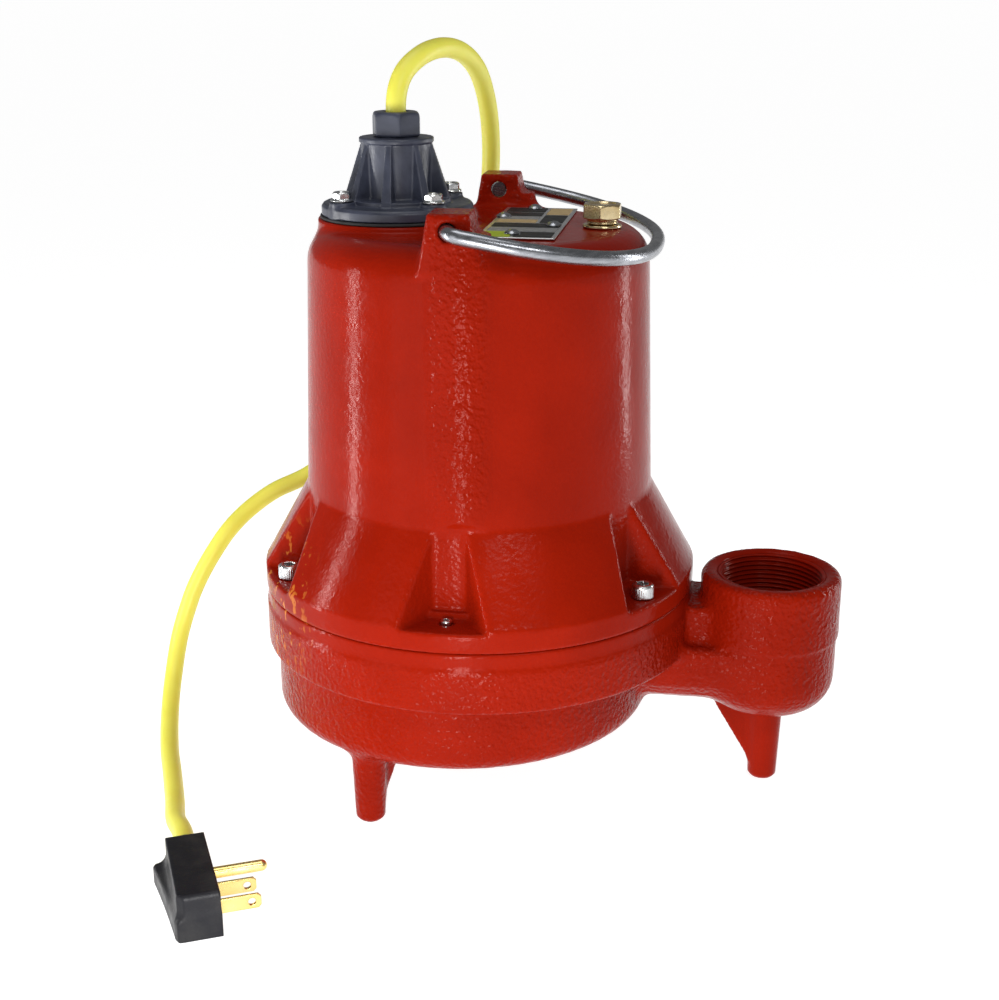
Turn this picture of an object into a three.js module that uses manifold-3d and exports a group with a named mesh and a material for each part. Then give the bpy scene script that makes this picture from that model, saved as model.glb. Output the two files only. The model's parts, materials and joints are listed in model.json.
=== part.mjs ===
// A submersible sump pump: motor housing over a volute casing, with its rotor, shaft seal, handle and
// power lead.
// Millimetres, +Z up. The pump stands on its three feet at z = 0, and +X runs from the motor to the
// discharge.
import * as THREE from "three";
import { ConvexGeometry } from "three/addons/geometries/ConvexGeometry.js";
import { mergeVertices } from "three/addons/utils/BufferGeometryUtils.js";
import Module from "manifold-3d";

const wasm = await Module();
wasm.setup();

// ---------------------------------------------------------------- driving dimensions

const FLANGE_R = 100; // bolted joint between the motor housing and the volute casing
const DISCHARGE_R = 32; // outside of the vertical discharge boss
const DISCHARGE_X = 136; // from the motor axis to the discharge axis
const AXIS_X = -(DISCHARGE_X + DISCHARGE_R - FLANGE_R) / 2; // puts the origin under the middle of the pump
const GAP = 0.3; // left between pieces that touch or fit
const SEAM_Z = 97;

const CASING = {
  ringBottom: 69,
  drumR: 88,
  drumX: -8,
  drumBottom: 34,
  drumCorner: 9,
  cavityR: 79,
  cavityFloor: 43,
  plateSeatR: 84.3,
  plateSeatZ: 88,
  eyeR: 24,
};
const DISCHARGE = {
  top: 105,
  mouthR: 23,
  boreR: 21.5,
  threadLength: 27,
  ridgeZ: 75,
  bottom: 39,
  floor: 46.5,
};
const DUCT = { start: 60, half: 17, floor: 51, roof: 70 }; // water way from the volute to the discharge
const LEG = { r: 79, footR: 6.6, topR: 8.4, top: 42, dischargeTop: 45, gussetThick: 7 };
const HOUSING = {
  flangeTop: 108.5,
  pocketFloor: 106,
  bodyLowR: 79.2,
  bodyLowZ: 143.5,
  bodyTopR: 75.75,
  shoulderZ: 246,
  shoulderR: 14,
  top: 260,
  boreR: 71,
  roofZ: 250,
};
const POCKETS = { count: 6, half: 7.2, flare: 0.65 };
const BOLT_R = 92; // pitch radius of the casing bolts
const BOLT = { shankR: 3, headR: 4.8, headHigh: 6, length: 24 };
const SET_SCREW_R = 87;
const PAD = { x: -36.4, r: 35.3, top: 262.8, openingR: 20, screwR: 28.5 };
const PLATE = {
  r: 33.6, bottom: 264.6, top: 269.4, ringR: 24, ringTop: 271.6,
  coreR: 15.6, collarR: 16.2, collarZ: 295.3, collarTop: 297.7,
};
const NUT = { flats: 19.5, bottom: 298, top: 308.5, boreR: 4.9, turn: 20 }; // turn in degrees
const EAR = { inner: 57, outerR: 77.4, foot: 252, top: 275.2, holeR: 3.8 };
// An ear seen from the front, as [x, z]. It leans towards the lead.
const EAR_OUTLINE = [[-15, 252], [14, 252], [10.5, 270], [9, 274], [7, 275.2], [-6.6, 275.2],
  [-8.8, 274], [-10, 270]];
const RIB = { low: 158, lowLeft: -6, lowRight: 14, lowFace: 79.2, high: 258, highLeft: -13, highRight: 15 };
const BAIL = {
  pivotZ: 268.2, tilt: THREE.MathUtils.degToRad(10.6), rodR: 3.15,
  end: 58.5, half: 82.5, reach: 80.1, bend: 6.5, square: 2.4,
};
const OIL_PLUG = { x: 54.6, holeR: 6, headR: 9.2 };
const NAMEPLATE = { x: 21.9, y: 5, wide: 33.5, long: 91, thick: 0.8, z: 260.3 };
const PIN_SPOTS = [[19.5, -31], [8.6, 18], [19, 46], [34, -6]]; // drive pins of the nameplate
const CORD = { r: 4.45, sides: 8, steps: 48 };
// Route of the power lead from inside the gland to inside the plug, about the motor axis.
const CORD_ROUTE = [
  [-36.4, 0, 280], [-36.4, 0, 300], [-36, 1, 316], [-33.5, 5, 324.5], [-28, 13, 331], [-21.5, 26, 334],
  [-15.5, 42, 332], [-11, 58, 324.5], [-9, 74, 311.5], [-8.5, 86, 294], [-9.5, 93, 273], [-13, 96, 247],
  [-22, 97.5, 218], [-36, 98, 188], [-56, 96.5, 160], [-80, 92, 134], [-107, 87, 112.5], [-125, 81, 104],
  [-137, 72, 95.5], [-145, 63, 87], [-151, 56, 77.5], [-156, 50.5, 68], [-160, 46, 58.5], [-163, 42, 48.5],
  [-165, 37, 39], [-165.5, 31, 30.5], [-164.5, 22.5, 23], [-162.5, 12, 16.5], [-157.5, -6, 9.5],
  [-149, -30, 5.6], [-141, -49, 5], [-129.5, -77, 5.6], [-121.5, -97.5, 8], [-113.5, -111.3, 10.4],
  [-106.7, -125, 10.6],
];
const PLUG = {
  x: -97.9, y: -125.8, yaw: THREE.MathUtils.degToRad(26.5), long: 49,
  high: 21, endHigh: 20.5, baseHigh: 10, round: 3, cordX: -7.5, cordZ: 10.6,
};
const BLADE = { wide: 6.35, thick: 1.5, long: 17.5, z: 5.6, apart: 12.7, middle: -29.5, buried: 5 };
const GROUND_PIN = { r: 2.4, long: 21.5, z: 17.5 };

const MOTOR = {
  coreBottom: 132, coreTop: 196, statorR: 70.3, statorBore: 36, rotorR: 35.2,
  windingIn: 41, windingOut: 62, windingHigh: 15,
};
const SHAFT = { impellerR: 7, lowR: 8.2, coreR: 10, topR: 6 };
const LOWER_BEARING = {
  z: 110, high: 12, bore: 8.5, inner: 12.3, outer: 16.2, od: 20, ballRing: 14.25, ballR: 1.6,
};
const UPPER_BEARING = {
  z: 222, high: 10, bore: 6.3, inner: 9.2, outer: 12.8, od: 16, ballRing: 11, ballR: 1.45,
};

const BIG = 40; // segments of large rounds
const MID = 20;
const INSIDE = 16; // rounds that the housing hides
const SMALL = 10;

// ---------------------------------------------------------------- materials

function paint(color, roughness, metalness) {
  return () => new THREE.MeshStandardMaterial({ color, roughness, metalness });
}
const redEnamel = paint(0xb5220f, 0.3, 0.05);
const blackNylon = paint(0x24262b, 0.5, 0);
const zinc = paint(0xc9ccd0, 0.35, 0.9);
const stainless = paint(0xb9bbbd, 0.25, 1);
const steel = paint(0x8d9196, 0.4, 0.9);
const brass = paint(0xc9a04a, 0.3, 1);
const copper = paint(0xb4643a, 0.45, 0.6);
const rubber = paint(0x1a1a1a, 0.8, 0);
const ceramic = paint(0xe9e6dc, 0.3, 0);
const carbon = paint(0x33333a, 0.55, 0.1);
const yellowJacket = paint(0xf0e02a, 0.45, 0);
const castIron = paint(0x5a5c5e, 0.7, 0.5);
const aluminium = paint(0xb8babc, 0.4, 0.8);

const pump = new THREE.Group();
pump.position.x = AXIS_X;

function piece(name, geometry, material, x = 0, y = 0, z = 0) {
  const mesh = new THREE.Mesh(geometry, material());
  mesh.name = name;
  mesh.position.set(x, y, z);
  pump.add(mesh);
  return mesh;
}

// ---------------------------------------------------------------- solids

function solid(geometry) {
  const bare = new THREE.BufferGeometry();
  const source = geometry.index ? geometry.toNonIndexed() : geometry;
  bare.setAttribute("position", source.getAttribute("position").clone());
  const merged = mergeVertices(bare, 1e-4);
  return new wasm.Manifold(
    new wasm.Mesh({
      numProp: 3,
      vertProperties: new Float32Array(merged.attributes.position.array),
      triVerts: new Uint32Array(merged.index.array),
    }),
  );
}

function geometryOf(manifold) {
  const mesh = manifold.getMesh();
  const geometry = new THREE.BufferGeometry();
  geometry.setAttribute("position", new THREE.BufferAttribute(new Float32Array(mesh.vertProperties), 3));
  geometry.setIndex(new THREE.BufferAttribute(new Uint32Array(mesh.triVerts), 1));
  const flat = geometry.toNonIndexed();
  flat.computeVertexNormals();
  return flat;
}

// Turns a profile of [radius, height] about Z. The profile starts and ends on the axis or closes on itself.
function turned(profile, segments = MID) {
  return new THREE.LatheGeometry(profile.map(([r, z]) => new THREE.Vector2(r, z)),
    segments).rotateX(Math.PI / 2);
}

function disc(r, z0, z1, segments = MID) {
  return turned([[0, z0], [r, z0], [r, z1], [0, z1]], segments);
}

function ring(inner, outer, z0, z1, segments = MID) {
  return turned([[inner, z0], [outer, z0], [outer, z1], [inner, z1], [inner, z0]], segments);
}

function discAt(x, y, r, z0, z1, segments = MID) {
  return solid(disc(r, z0, z1, segments).translate(x, y, 0));
}

function box(x0, x1, y0, y1, z0, z1) {
  const geometry = new THREE.BoxGeometry(x1 - x0, y1 - y0, z1 - z0);
  return solid(geometry.translate((x0 + x1) / 2, (y0 + y1) / 2, (z0 + z1) / 2));
}

function outline(points) {
  return new THREE.Shape(points.map(([x, y]) => new THREE.Vector2(x, y)));
}

function ngon(r, sides, turn = 0) {
  const points = [];
  for (let i = 0; i < sides; i++) {
    const a = turn + (i / sides) * 2 * Math.PI;
    points.push([r * Math.cos(a), r * Math.sin(a)]);
  }
  return points;
}

// A block with one flat outline at a low height and another at a high one, joined by straight sides.
function tapered(low, lowZ, high, highZ) {
  const corners = (points, z) => points.map(([x, y]) => new THREE.Vector3(x, y, z));
  return new ConvexGeometry([...corners(low, lowZ), ...corners(high, highZ)]);
}

// A bar with an outline of [y, z] points, run along X.
function barAlongX(points, x0, x1) {
  const bar = new THREE.ExtrudeGeometry(outline(points), { depth: x1 - x0, bevelEnabled: false });
  return solid(bar.rotateX(Math.PI / 2).rotateZ(Math.PI / 2).translate(x0, 0, 0));
}

// A rod of round section along a curve.
function rod(curve, r, sides, steps) {
  const section = outline(ngon(r, sides));
  return new THREE.ExtrudeGeometry(section, { extrudePath: curve, steps, bevelEnabled: false });
}

// Place on a circle: angle 0 is towards -Y, and turns towards +X.
function onCircle(r, degrees) {
  const a = THREE.MathUtils.degToRad(degrees);
  return [r * Math.sin(a), -r * Math.cos(a)];
}

// A hexagon with two corners on the Y axis, its top corners turned off.
function hexHead(flats, z0, z1, chamfer) {
  const r = flats / Math.sqrt(3);
  const hex = turned([[0, z0], [r, z0], [r, z1], [0, z1]], 6);
  const cap = turned([[0, z0 - 1], [r + 0.5, z0 - 1], [r + 0.5, z1 - chamfer],
    [r + 0.5 - 2 * chamfer, z1], [0, z1]], INSIDE);
  return solid(hex).intersect(solid(cap));
}

// ---------------------------------------------------------------- volute casing

const boltAngles = [-60, 60, 180];
const setScrewAngles = [0, 120, 240];
const legSpots = [[DISCHARGE_X + 0.6, 0], [-LEG.r / 2, -LEG.r * Math.sin(Math.PI / 3)],
  [-LEG.r / 2, LEG.r * Math.sin(Math.PI / 3)]];

function leg(x, y, rootZ) {
  const away = Math.hypot(x, y);
  const ux = -x / away;
  const uy = -y / away;
  const half = LEG.gussetThick / 2;
  const pad = solid(turned([[0, 0], [LEG.footR - 1.5, 0], [LEG.footR, 1.8], [LEG.topR, rootZ],
    [0, rootZ]], MID).translate(x, y, 0));
  const strip = (from, to) => [
    [x + ux * from + uy * half, y + uy * from - ux * half],
    [x + ux * to + uy * half, y + uy * to - ux * half],
    [x + ux * to - uy * half, y + uy * to + ux * half],
    [x + ux * from - uy * half, y + uy * from + ux * half],
  ];
  const gusset = solid(tapered(strip(2, LEG.footR + 0.4), 10, strip(2, 25), rootZ));
  return pad.add(gusset);
}

function voluteCasing() {
  const c = CASING;
  const d = DISCHARGE;
  const ringTop = SEAM_Z - GAP / 2;
  let body = solid(
    turned([[0, c.ringBottom], [FLANGE_R - 1.6, c.ringBottom], [FLANGE_R, c.ringBottom + 1.6],
      [FLANGE_R, ringTop - 0.8], [FLANGE_R - 0.8, ringTop], [0, ringTop]], BIG),
  );
  const corner = c.drumBottom + c.drumCorner;
  const drum = turned([[0, c.drumBottom], [c.drumR - c.drumCorner, c.drumBottom],
    [c.drumR - 2.6, c.drumBottom + 2.6], [c.drumR, corner], [c.drumR, c.ringBottom + 1],
    [0, c.ringBottom + 1]], BIG);
  body = body.add(solid(drum.translate(c.drumX, 0, 0)));

  const duct = [[-27, 62], [-25, 55], [-20, 48.5], [-12, 44], [0, 42.5], [12, 44], [20, 48.5],
    [25, 55], [27, 62], [27, 72], [25, 74], [-25, 74], [-27, 72]];
  body = body.add(barAlongX(duct, DUCT.start, DISCHARGE_X));
  body = body.add(box(FLANGE_R - 14, DISCHARGE_X, -18, 18, 72, 91));
  const boss = turned([[0, d.bottom], [15, d.bottom], [23, d.bottom + 3.4], [28.2, d.bottom + 9.2],
    [31, d.bottom + 17], [DISCHARGE_R - 0.6, d.ridgeZ], [DISCHARGE_R, d.ridgeZ + 0.6],
    [DISCHARGE_R, d.top - 4], [DISCHARGE_R - 1.4, d.top - 1.2], [DISCHARGE_R - 4.2, d.top], [0, d.top]], BIG);
  body = body.add(solid(boss.translate(DISCHARGE_X, 0, 0)));
  for (const [x, y] of legSpots) body = body.add(leg(x, y, x > 0 ? LEG.dischargeTop : LEG.top));

  body = body.subtract(discAt(c.drumX, 0, c.cavityR, c.cavityFloor, SEAM_Z, BIG));
  body = body.subtract(discAt(0, 0, c.plateSeatR, c.plateSeatZ, SEAM_Z + 1, BIG));
  body = body.subtract(discAt(0, 0, c.eyeR, c.drumBottom - 5, c.cavityFloor + 1, MID));
  body = body.subtract(box(40, DISCHARGE_X, -DUCT.half, DUCT.half, DUCT.floor, DUCT.roof));
  body = body.subtract(discAt(DISCHARGE_X, 0, d.boreR, d.floor, d.top - d.threadLength + 1, MID));
  body = body.subtract(discAt(DISCHARGE_X, 0, d.mouthR, d.top - d.threadLength, d.top + 1, BIG));
  for (const angle of boltAngles) {
    const [x, y] = onCircle(BOLT_R, angle);
    body = body.subtract(discAt(x, y, BOLT.shankR + GAP, SEAM_Z - 16, SEAM_Z + 1, SMALL));
  }
  return body;
}
piece("volute_casing", geometryOf(voluteCasing()), redEnamel);

// ---------------------------------------------------------------- motor housing

// A pocket opens like a wedge from a narrow back wall, with upright sides.
function pocketCutter(degrees) {
  const inner = 70;
  const beyond = 25; // how far the cutter runs out past the body
  const wide = POCKETS.half + POCKETS.flare * beyond;
  const outer = HOUSING.bodyLowR + beyond;
  const wedge = outline([[-1, -inner], [-wide, -outer], [wide, -outer], [1, -inner]]);
  const tool = new THREE.ExtrudeGeometry(wedge, { depth: 60, bevelEnabled: false });
  tool.translate(0, 0, HOUSING.pocketFloor);
  return solid(tool.rotateZ(THREE.MathUtils.degToRad(degrees)));
}

function ear(side) {
  const e = EAR;
  const depth = 30;
  const slab = new THREE.ExtrudeGeometry(outline(EAR_OUTLINE), { depth, bevelEnabled: false });
  slab.rotateX(Math.PI / 2).translate(0, side > 0 ? e.inner + depth : -e.inner, 0);
  return solid(slab).intersect(discAt(0, 0, e.outerR, e.foot - 1, e.top + 1, BIG));
}

function rib(side) {
  const bar = (x0, x1, y) => [[x0, side * 65], [x1, side * 65], [x1, side * y], [x0, side * y]];
  const low = bar(RIB.lowLeft, RIB.lowRight, RIB.lowFace);
  const high = bar(RIB.highLeft, RIB.highRight, EAR.outerR);
  return solid(tapered(low, RIB.low, high, RIB.high));
}

function motorHousing() {
  const h = HOUSING;
  const flangeBottom = SEAM_Z + GAP / 2;
  let skirt = solid(
    turned([[0, flangeBottom], [FLANGE_R - 0.8, flangeBottom], [FLANGE_R, flangeBottom + 0.8],
      [FLANGE_R, h.flangeTop - 1.5], [98.6, h.flangeTop + 0.8], [79.9, 142.5], [77, 145], [0, 145]], BIG),
  );
  for (let i = 0; i < POCKETS.count; i++) skirt = skirt.subtract(pocketCutter((i * 360) / POCKETS.count));
  const s = h.shoulderR;
  const arc = [0, 22.5, 45, 67.5, 90].map((deg) => {
    const a = THREE.MathUtils.degToRad(deg);
    return [h.bodyTopR - s + s * Math.cos(a), h.shoulderZ + s * Math.sin(a)];
  });
  let body = skirt.add(
    solid(turned([[0, flangeBottom + 2], [h.bodyLowR, flangeBottom + 2], [h.bodyLowR, h.bodyLowZ],
      ...arc, [0, h.top]], BIG)),
  );
  body = body.add(discAt(PAD.x, 0, PAD.r, h.shoulderZ - 2, PAD.top, BIG));
  for (const side of [-1, 1]) body = body.add(ear(side)).add(rib(side));

  body = body.subtract(discAt(0, 0, h.boreR, SEAM_Z - 1, h.roofZ, BIG));
  const u = UPPER_BEARING;
  body = body.add(solid(ring(u.od + GAP, u.od + 4.5, u.z - 1, h.roofZ + 2, MID)));
  const bearingBoss = discAt(0, 0, u.od + 4.5, 240, 270, MID);
  const leadOpening = discAt(PAD.x, 0, PAD.openingR, h.roofZ - 2, PAD.top + 1, MID);
  body = body.subtract(leadOpening.subtract(bearingBoss));
  body = body.subtract(discAt(OIL_PLUG.x, 0, OIL_PLUG.holeR, h.roofZ - 2, h.top + 1, SMALL));
  const earHole = new THREE.CylinderGeometry(EAR.holeR, EAR.holeR, 200, INSIDE);
  body = body.subtract(solid(earHole.translate(0, 0, BAIL.pivotZ)));
  for (const angle of boltAngles) {
    const [x, y] = onCircle(BOLT_R, angle);
    body = body.subtract(discAt(x, y, BOLT.shankR + GAP, SEAM_Z - 1, h.pocketFloor + 2, SMALL));
  }
  for (const angle of setScrewAngles) {
    const [x, y] = onCircle(SET_SCREW_R, angle);
    body = body.subtract(discAt(x, y, 2.5 + GAP, SEAM_Z + 2, h.pocketFloor + 2, SMALL));
  }
  for (const [x, y] of plateScrewSpots()) {
    body = body.subtract(discAt(x, y, 2.5, PAD.top - 8, PAD.top + 1, SMALL));
  }
  for (const [x, y] of PIN_SPOTS) body = body.subtract(discAt(x, y, 1.7, h.top - 4, h.top + 1, 12));
  return body;
}

function plateScrewSpots() {
  const at = PAD.screwR * Math.SQRT1_2;
  return [[PAD.x - at, -at], [PAD.x + at, -at], [PAD.x + at, at], [PAD.x - at, at]];
}
piece("motor_housing", geometryOf(motorHousing()), redEnamel);

// ---------------------------------------------------------------- fasteners of the casing

boltAngles.forEach((angle, i) => {
  const floor = HOUSING.pocketFloor;
  const high = floor + GAP + BOLT.headHigh;
  const shank = discAt(0, 0, BOLT.shankR, floor - BOLT.length, floor + 2, SMALL);
  const headProfile = [[0, floor + GAP], [BOLT.headR, floor + GAP], [BOLT.headR, high - 1.2],
    [BOLT.headR - 1.2, high], [0, high]];
  const head = solid(turned(headProfile, INSIDE));
  const socket = solid(turned([[0, high - 3.4], [2.9, high - 3.4], [2.9, high + 1], [0, high + 1]], 6));
  const [x, y] = onCircle(BOLT_R, angle);
  piece("casing_bolt_" + (i + 1), geometryOf(shank.add(head).subtract(socket)), zinc, x, y);
});

setScrewAngles.forEach((angle, i) => {
  const floor = HOUSING.pocketFloor;
  const body = disc(2.5, SEAM_Z + 2 + GAP, floor + 1.4, 12);
  const socket = solid(turned([[0, floor - 0.6], [1.3, floor - 0.6], [1.3, floor + 2], [0, floor + 2]], 6));
  const [x, y] = onCircle(SET_SCREW_R, angle);
  piece("set_screw_" + (i + 1), geometryOf(solid(body).subtract(socket)), steel, x, y);
});

// ---------------------------------------------------------------- bearing plate and seal

function bearingPlate() {
  const b = LOWER_BEARING;
  const plateTop = SEAM_Z - GAP - 0.1;
  const seatTop = b.z + b.high + 0.6;
  const profile = [[13, 88.4], [84, 88.4], [84, plateTop], [83.4, plateTop], [83.4, 93.6],
    [79.6, 93.6], [79.6, plateTop], [40, plateTop], [30, 101], [b.od + 5, 104], [b.od + 5, seatTop],
    [b.od + GAP, seatTop], [b.od + GAP, b.z - GAP], [15.6, b.z - GAP], [15.6, 94.6], [13, 94.6],
    [13, 88.4]];
  return turned(profile, BIG);
}
piece("bearing_plate", bearingPlate(), castIron);

const O_RING = { ringR: 81.5, wireR: 1.4, z: 95.2 };
piece("housing_o_ring", new THREE.TorusGeometry(O_RING.ringR, O_RING.wireR, 6, 32), rubber, 0, 0, O_RING.z);

piece("seal_seat", ring(7.7, 12.6, 89, 94.2, INSIDE), ceramic);
piece("seal_face", ring(7.5, 11.6, 94.6, 98, INSIDE), carbon);
piece("seal_retainer", ring(7.5, 13, 106, 108, INSIDE), stainless);

class SpringCurve extends THREE.Curve {
  getPoint(t, target = new THREE.Vector3()) {
    const turns = 3;
    const a = t * turns * 2 * Math.PI;
    return target.set(10.6 * Math.cos(a), 10.6 * Math.sin(a), 99.2 + t * 5.8);
  }
}
piece("seal_spring", rod(new SpringCurve(), 0.7, 5, 36), stainless);

// ---------------------------------------------------------------- bearings

function bearing(name, b) {
  piece(name + "_bearing_outer_ring", ring(b.outer, b.od, b.z, b.z + b.high, INSIDE), steel);
  piece(name + "_bearing_inner_ring", ring(b.bore, b.inner, b.z, b.z + b.high, INSIDE), steel);
  const middle = b.z + b.high / 2;
  const count = 8;
  let balls = solid(ring(b.ballRing - 0.6, b.ballRing + 0.6, middle - 0.6, middle + 0.6, count));
  for (let i = 0; i < count; i++) {
    const [x, y] = onCircle(b.ballRing, (i * 360) / count);
    balls = balls.add(solid(new THREE.IcosahedronGeometry(b.ballR).translate(x, y, middle)));
  }
  piece(name + "_bearing_balls", geometryOf(balls), stainless);
}
bearing("lower", LOWER_BEARING);
bearing("upper", UPPER_BEARING);
piece("wave_washer", ring(11.5, 15.6, 233, 233.8, INSIDE), stainless);

// ---------------------------------------------------------------- motor

function slottedStator() {
  const slots = 16;
  const outer = outline(ngon(MOTOR.statorR, BIG));
  const bore = [];
  for (let i = 0; i < slots; i++) {
    const step = (2 * Math.PI) / slots;
    for (const [r, part] of [[MOTOR.statorBore, 0.08], [MOTOR.statorBore, 0.62], [54, 0.58],
      [54, 0.12 + 1]]) {
      const a = (i + part - 0.35) * step;
      bore.push(new THREE.Vector2(r * Math.cos(a), r * Math.sin(a)));
    }
  }
  outer.holes.push(new THREE.Path(bore));
  const depth = MOTOR.coreTop - MOTOR.coreBottom;
  return new THREE.ExtrudeGeometry(outer, { depth, bevelEnabled: false }).translate(0, 0, MOTOR.coreBottom);
}
piece("stator_core", slottedStator(), steel);

function winding(z0) {
  const m = MOTOR;
  const z1 = z0 + m.windingHigh;
  const profile = [[m.windingIn, z0 + 4], [m.windingIn + 4, z0], [m.windingOut - 4, z0],
    [m.windingOut, z0 + 4], [m.windingOut, z1 - 4], [m.windingOut - 4, z1], [m.windingIn + 4, z1],
    [m.windingIn, z1 - 4], [m.windingIn, z0 + 4]];
  return turned(profile, INSIDE);
}
piece("winding_lower", winding(MOTOR.coreBottom - GAP - MOTOR.windingHigh), copper);
piece("winding_upper", winding(MOTOR.coreTop + GAP), copper);

piece("rotor_core", ring(SHAFT.coreR + GAP, MOTOR.rotorR, MOTOR.coreBottom, MOTOR.coreTop, MID), aluminium);

const lowerBearingTop = LOWER_BEARING.z + LOWER_BEARING.high;
const shaftProfile = [[0, 55], [4.5, 55], [4.5, 63], [SHAFT.impellerR, 63.4],
  [SHAFT.impellerR, 108.8], [SHAFT.lowR, 109.2], [SHAFT.lowR, lowerBearingTop + 1.2],
  [SHAFT.coreR, lowerBearingTop + 2],
  [SHAFT.coreR, 219], [SHAFT.topR, 220], [SHAFT.topR, 236], [0, 236]];
piece("shaft", turned(shaftProfile, INSIDE), stainless);

const capacitorAt = { x: 44, z: 232, r: 15, half: 25 };
const lyingRound = (r, half) => new THREE.CylinderGeometry(r, r, 2 * half, INSIDE);
const capacitor = lyingRound(capacitorAt.r, capacitorAt.half);
piece("run_capacitor", capacitor, aluminium, capacitorAt.x, 0, capacitorAt.z);

function capacitorStrap() {
  const inside = solid(lyingRound(capacitorAt.r + GAP, 8));
  const band = solid(lyingRound(capacitorAt.r + 1.5, 6)).subtract(inside);
  const foot = box(-6, 6, -6, 6, capacitorAt.r + 0.9, capacitorAt.r + 2.6);
  return band.add(foot);
}
piece("capacitor_strap", geometryOf(capacitorStrap()), steel, capacitorAt.x, 0, capacitorAt.z);

const windingTop = MOTOR.coreTop + GAP + MOTOR.windingHigh;
piece("thermal_protector", disc(8, windingTop + GAP, windingTop + 7, SMALL), blackNylon, -46, 22, 0);

const leadJackets = [rubber, ceramic, paint(0x2c7a3f, 0.5, 0)];
leadJackets.forEach((jacket, i) => {
  const side = i - 1;
  const lead = new THREE.CatmullRomCurve3([
    new THREE.Vector3(PAD.x, side * 3.2, 279.4), new THREE.Vector3(PAD.x, side * 3.2, 264),
    new THREE.Vector3(PAD.x - 1, side * 5, 252), new THREE.Vector3(PAD.x - 6, side * 8, 240),
    new THREE.Vector3(PAD.x - 13, side * 10.4, 226), new THREE.Vector3(PAD.x - 14, side * 10.8,
      windingTop + GAP),
  ], false, "centripetal");
  piece("motor_lead_" + (i + 1), rod(lead, 1.4, 5, 12), jacket);
});

// ---------------------------------------------------------------- impeller

const IMPELLER = { r: 50, hubR: 14, hubBottom: 62.9, bladeBottom: 66, discBottom: 80, discTop: 85,
  blades: 6 };

function impeller() {
  const m = IMPELLER;
  const hub = discAt(0, 0, m.hubR, m.hubBottom, m.discTop, MID);
  let wheel = discAt(0, 0, m.r, m.discBottom, m.discTop, 36).add(hub);
  for (let i = 0; i < m.blades; i++) {
    const line = [];
    for (let k = 0; k <= 4; k++) {
      const r = 10 + (k / 4) * (m.r - 12);
      line.push([r, -k * k * 1.1]);
    }
    const back = line.map(([x, y]) => [x, y + 3.2]).reverse();
    const blade = new THREE.ExtrudeGeometry(outline([...line, ...back]), {
      depth: m.discBottom + 1 - m.bladeBottom,
      bevelEnabled: false,
    });
    wheel = wheel.add(solid(blade.translate(0, 0, m.bladeBottom).rotateZ((i * 2 * Math.PI) / m.blades)));
  }
  return wheel.subtract(discAt(0, 0, SHAFT.impellerR + GAP, 50, 90, MID));
}
piece("impeller", geometryOf(impeller()), castIron);

const impellerNut = hexHead(15, 56, 62.4, 0.5).subtract(discAt(0, 0, 4.5 + GAP, 50, 70, SMALL));
piece("impeller_nut", geometryOf(impellerNut), stainless);

// ---------------------------------------------------------------- cord entry

function cordEntryPlate() {
  const p = PLATE;
  let body = discAt(0, 0, p.r, p.bottom, p.top, 36);
  for (const [x, y] of plateScrewSpots()) {
    body = body.add(discAt(x - PAD.x, y, 5.6, p.bottom, p.ringTop, SMALL));
  }
  body = body.add(discAt(0, 0, p.ringR, p.top - 1, p.ringTop, 32));
  body = body.add(discAt(0, 0, p.coreR, p.ringTop - 1, p.collarZ + 1, MID));
  const ribs = 8;
  for (let i = 0; i < ribs; i++) {
    const thick = 1.5;
    const low = [[0, -thick], [p.ringR - 0.6, -thick], [p.ringR - 0.6, thick], [0, thick]];
    const high = [[0, -thick], [p.collarR, -thick], [p.collarR, thick], [0, thick]];
    const blade = tapered(low, p.ringTop - 0.5, high, p.collarZ + 0.5);
    body = body.add(solid(blade.rotateZ((i * 2 * Math.PI) / ribs)));
  }
  body = body.add(discAt(0, 0, p.collarR, p.collarZ, p.collarTop, MID));
  body = body.subtract(discAt(0, 0, 5.2, p.bottom - 1, p.collarTop + 1, MID));
  body = body.subtract(discAt(0, 0, 9.4, 278, p.collarTop + 1, MID));
  for (const [x, y] of plateScrewSpots()) {
    body = body.subtract(discAt(x - PAD.x, y, 2.5, p.bottom - 1, p.ringTop + 1, SMALL));
  }
  return body;
}
piece("cord_entry_plate", geometryOf(cordEntryPlate()), blackNylon, PAD.x, 0, 0);

let gasket = solid(ring(18, PLATE.r + 0.6, PAD.top + GAP, PLATE.bottom - GAP, 36));
for (const [x, y] of plateScrewSpots()) {
  gasket = gasket.subtract(discAt(x - PAD.x, y, 2.6, PAD.top, PLATE.bottom, SMALL));
}
piece("cord_plate_gasket", geometryOf(gasket), rubber, PAD.x, 0, 0);

piece("cord_grommet", ring(4.9, 9, 278.4, 285), rubber, PAD.x, 0, 0);

const nutShank = discAt(0, 0, 9, 285.4, NUT.bottom + 1, MID);
const nutBore = discAt(0, 0, NUT.boreR, 280, 320, 24);
const plainNut = hexHead(NUT.flats, NUT.bottom, NUT.top, 1.4).add(nutShank).subtract(nutBore);
const compressionNut = plainNut.rotate([0, 0, NUT.turn]);
piece("compression_nut", geometryOf(compressionNut), blackNylon, PAD.x, 0, 0);

plateScrewSpots().forEach(([x, y], i) => {
  const seat = PLATE.ringTop + GAP;
  const washer = discAt(0, 0, 4.9, seat, seat + 0.9, SMALL);
  const head = hexHead(7.4, seat, seat + 4, 0.5);
  const shank = discAt(0, 0, 2.1, PAD.top - 7, seat + 1, 12);
  piece("cord_plate_screw_" + (i + 1), geometryOf(shank.add(washer).add(head)), zinc, x, y, 0);
});

// ---------------------------------------------------------------- handle, oil plug, nameplate

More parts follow.
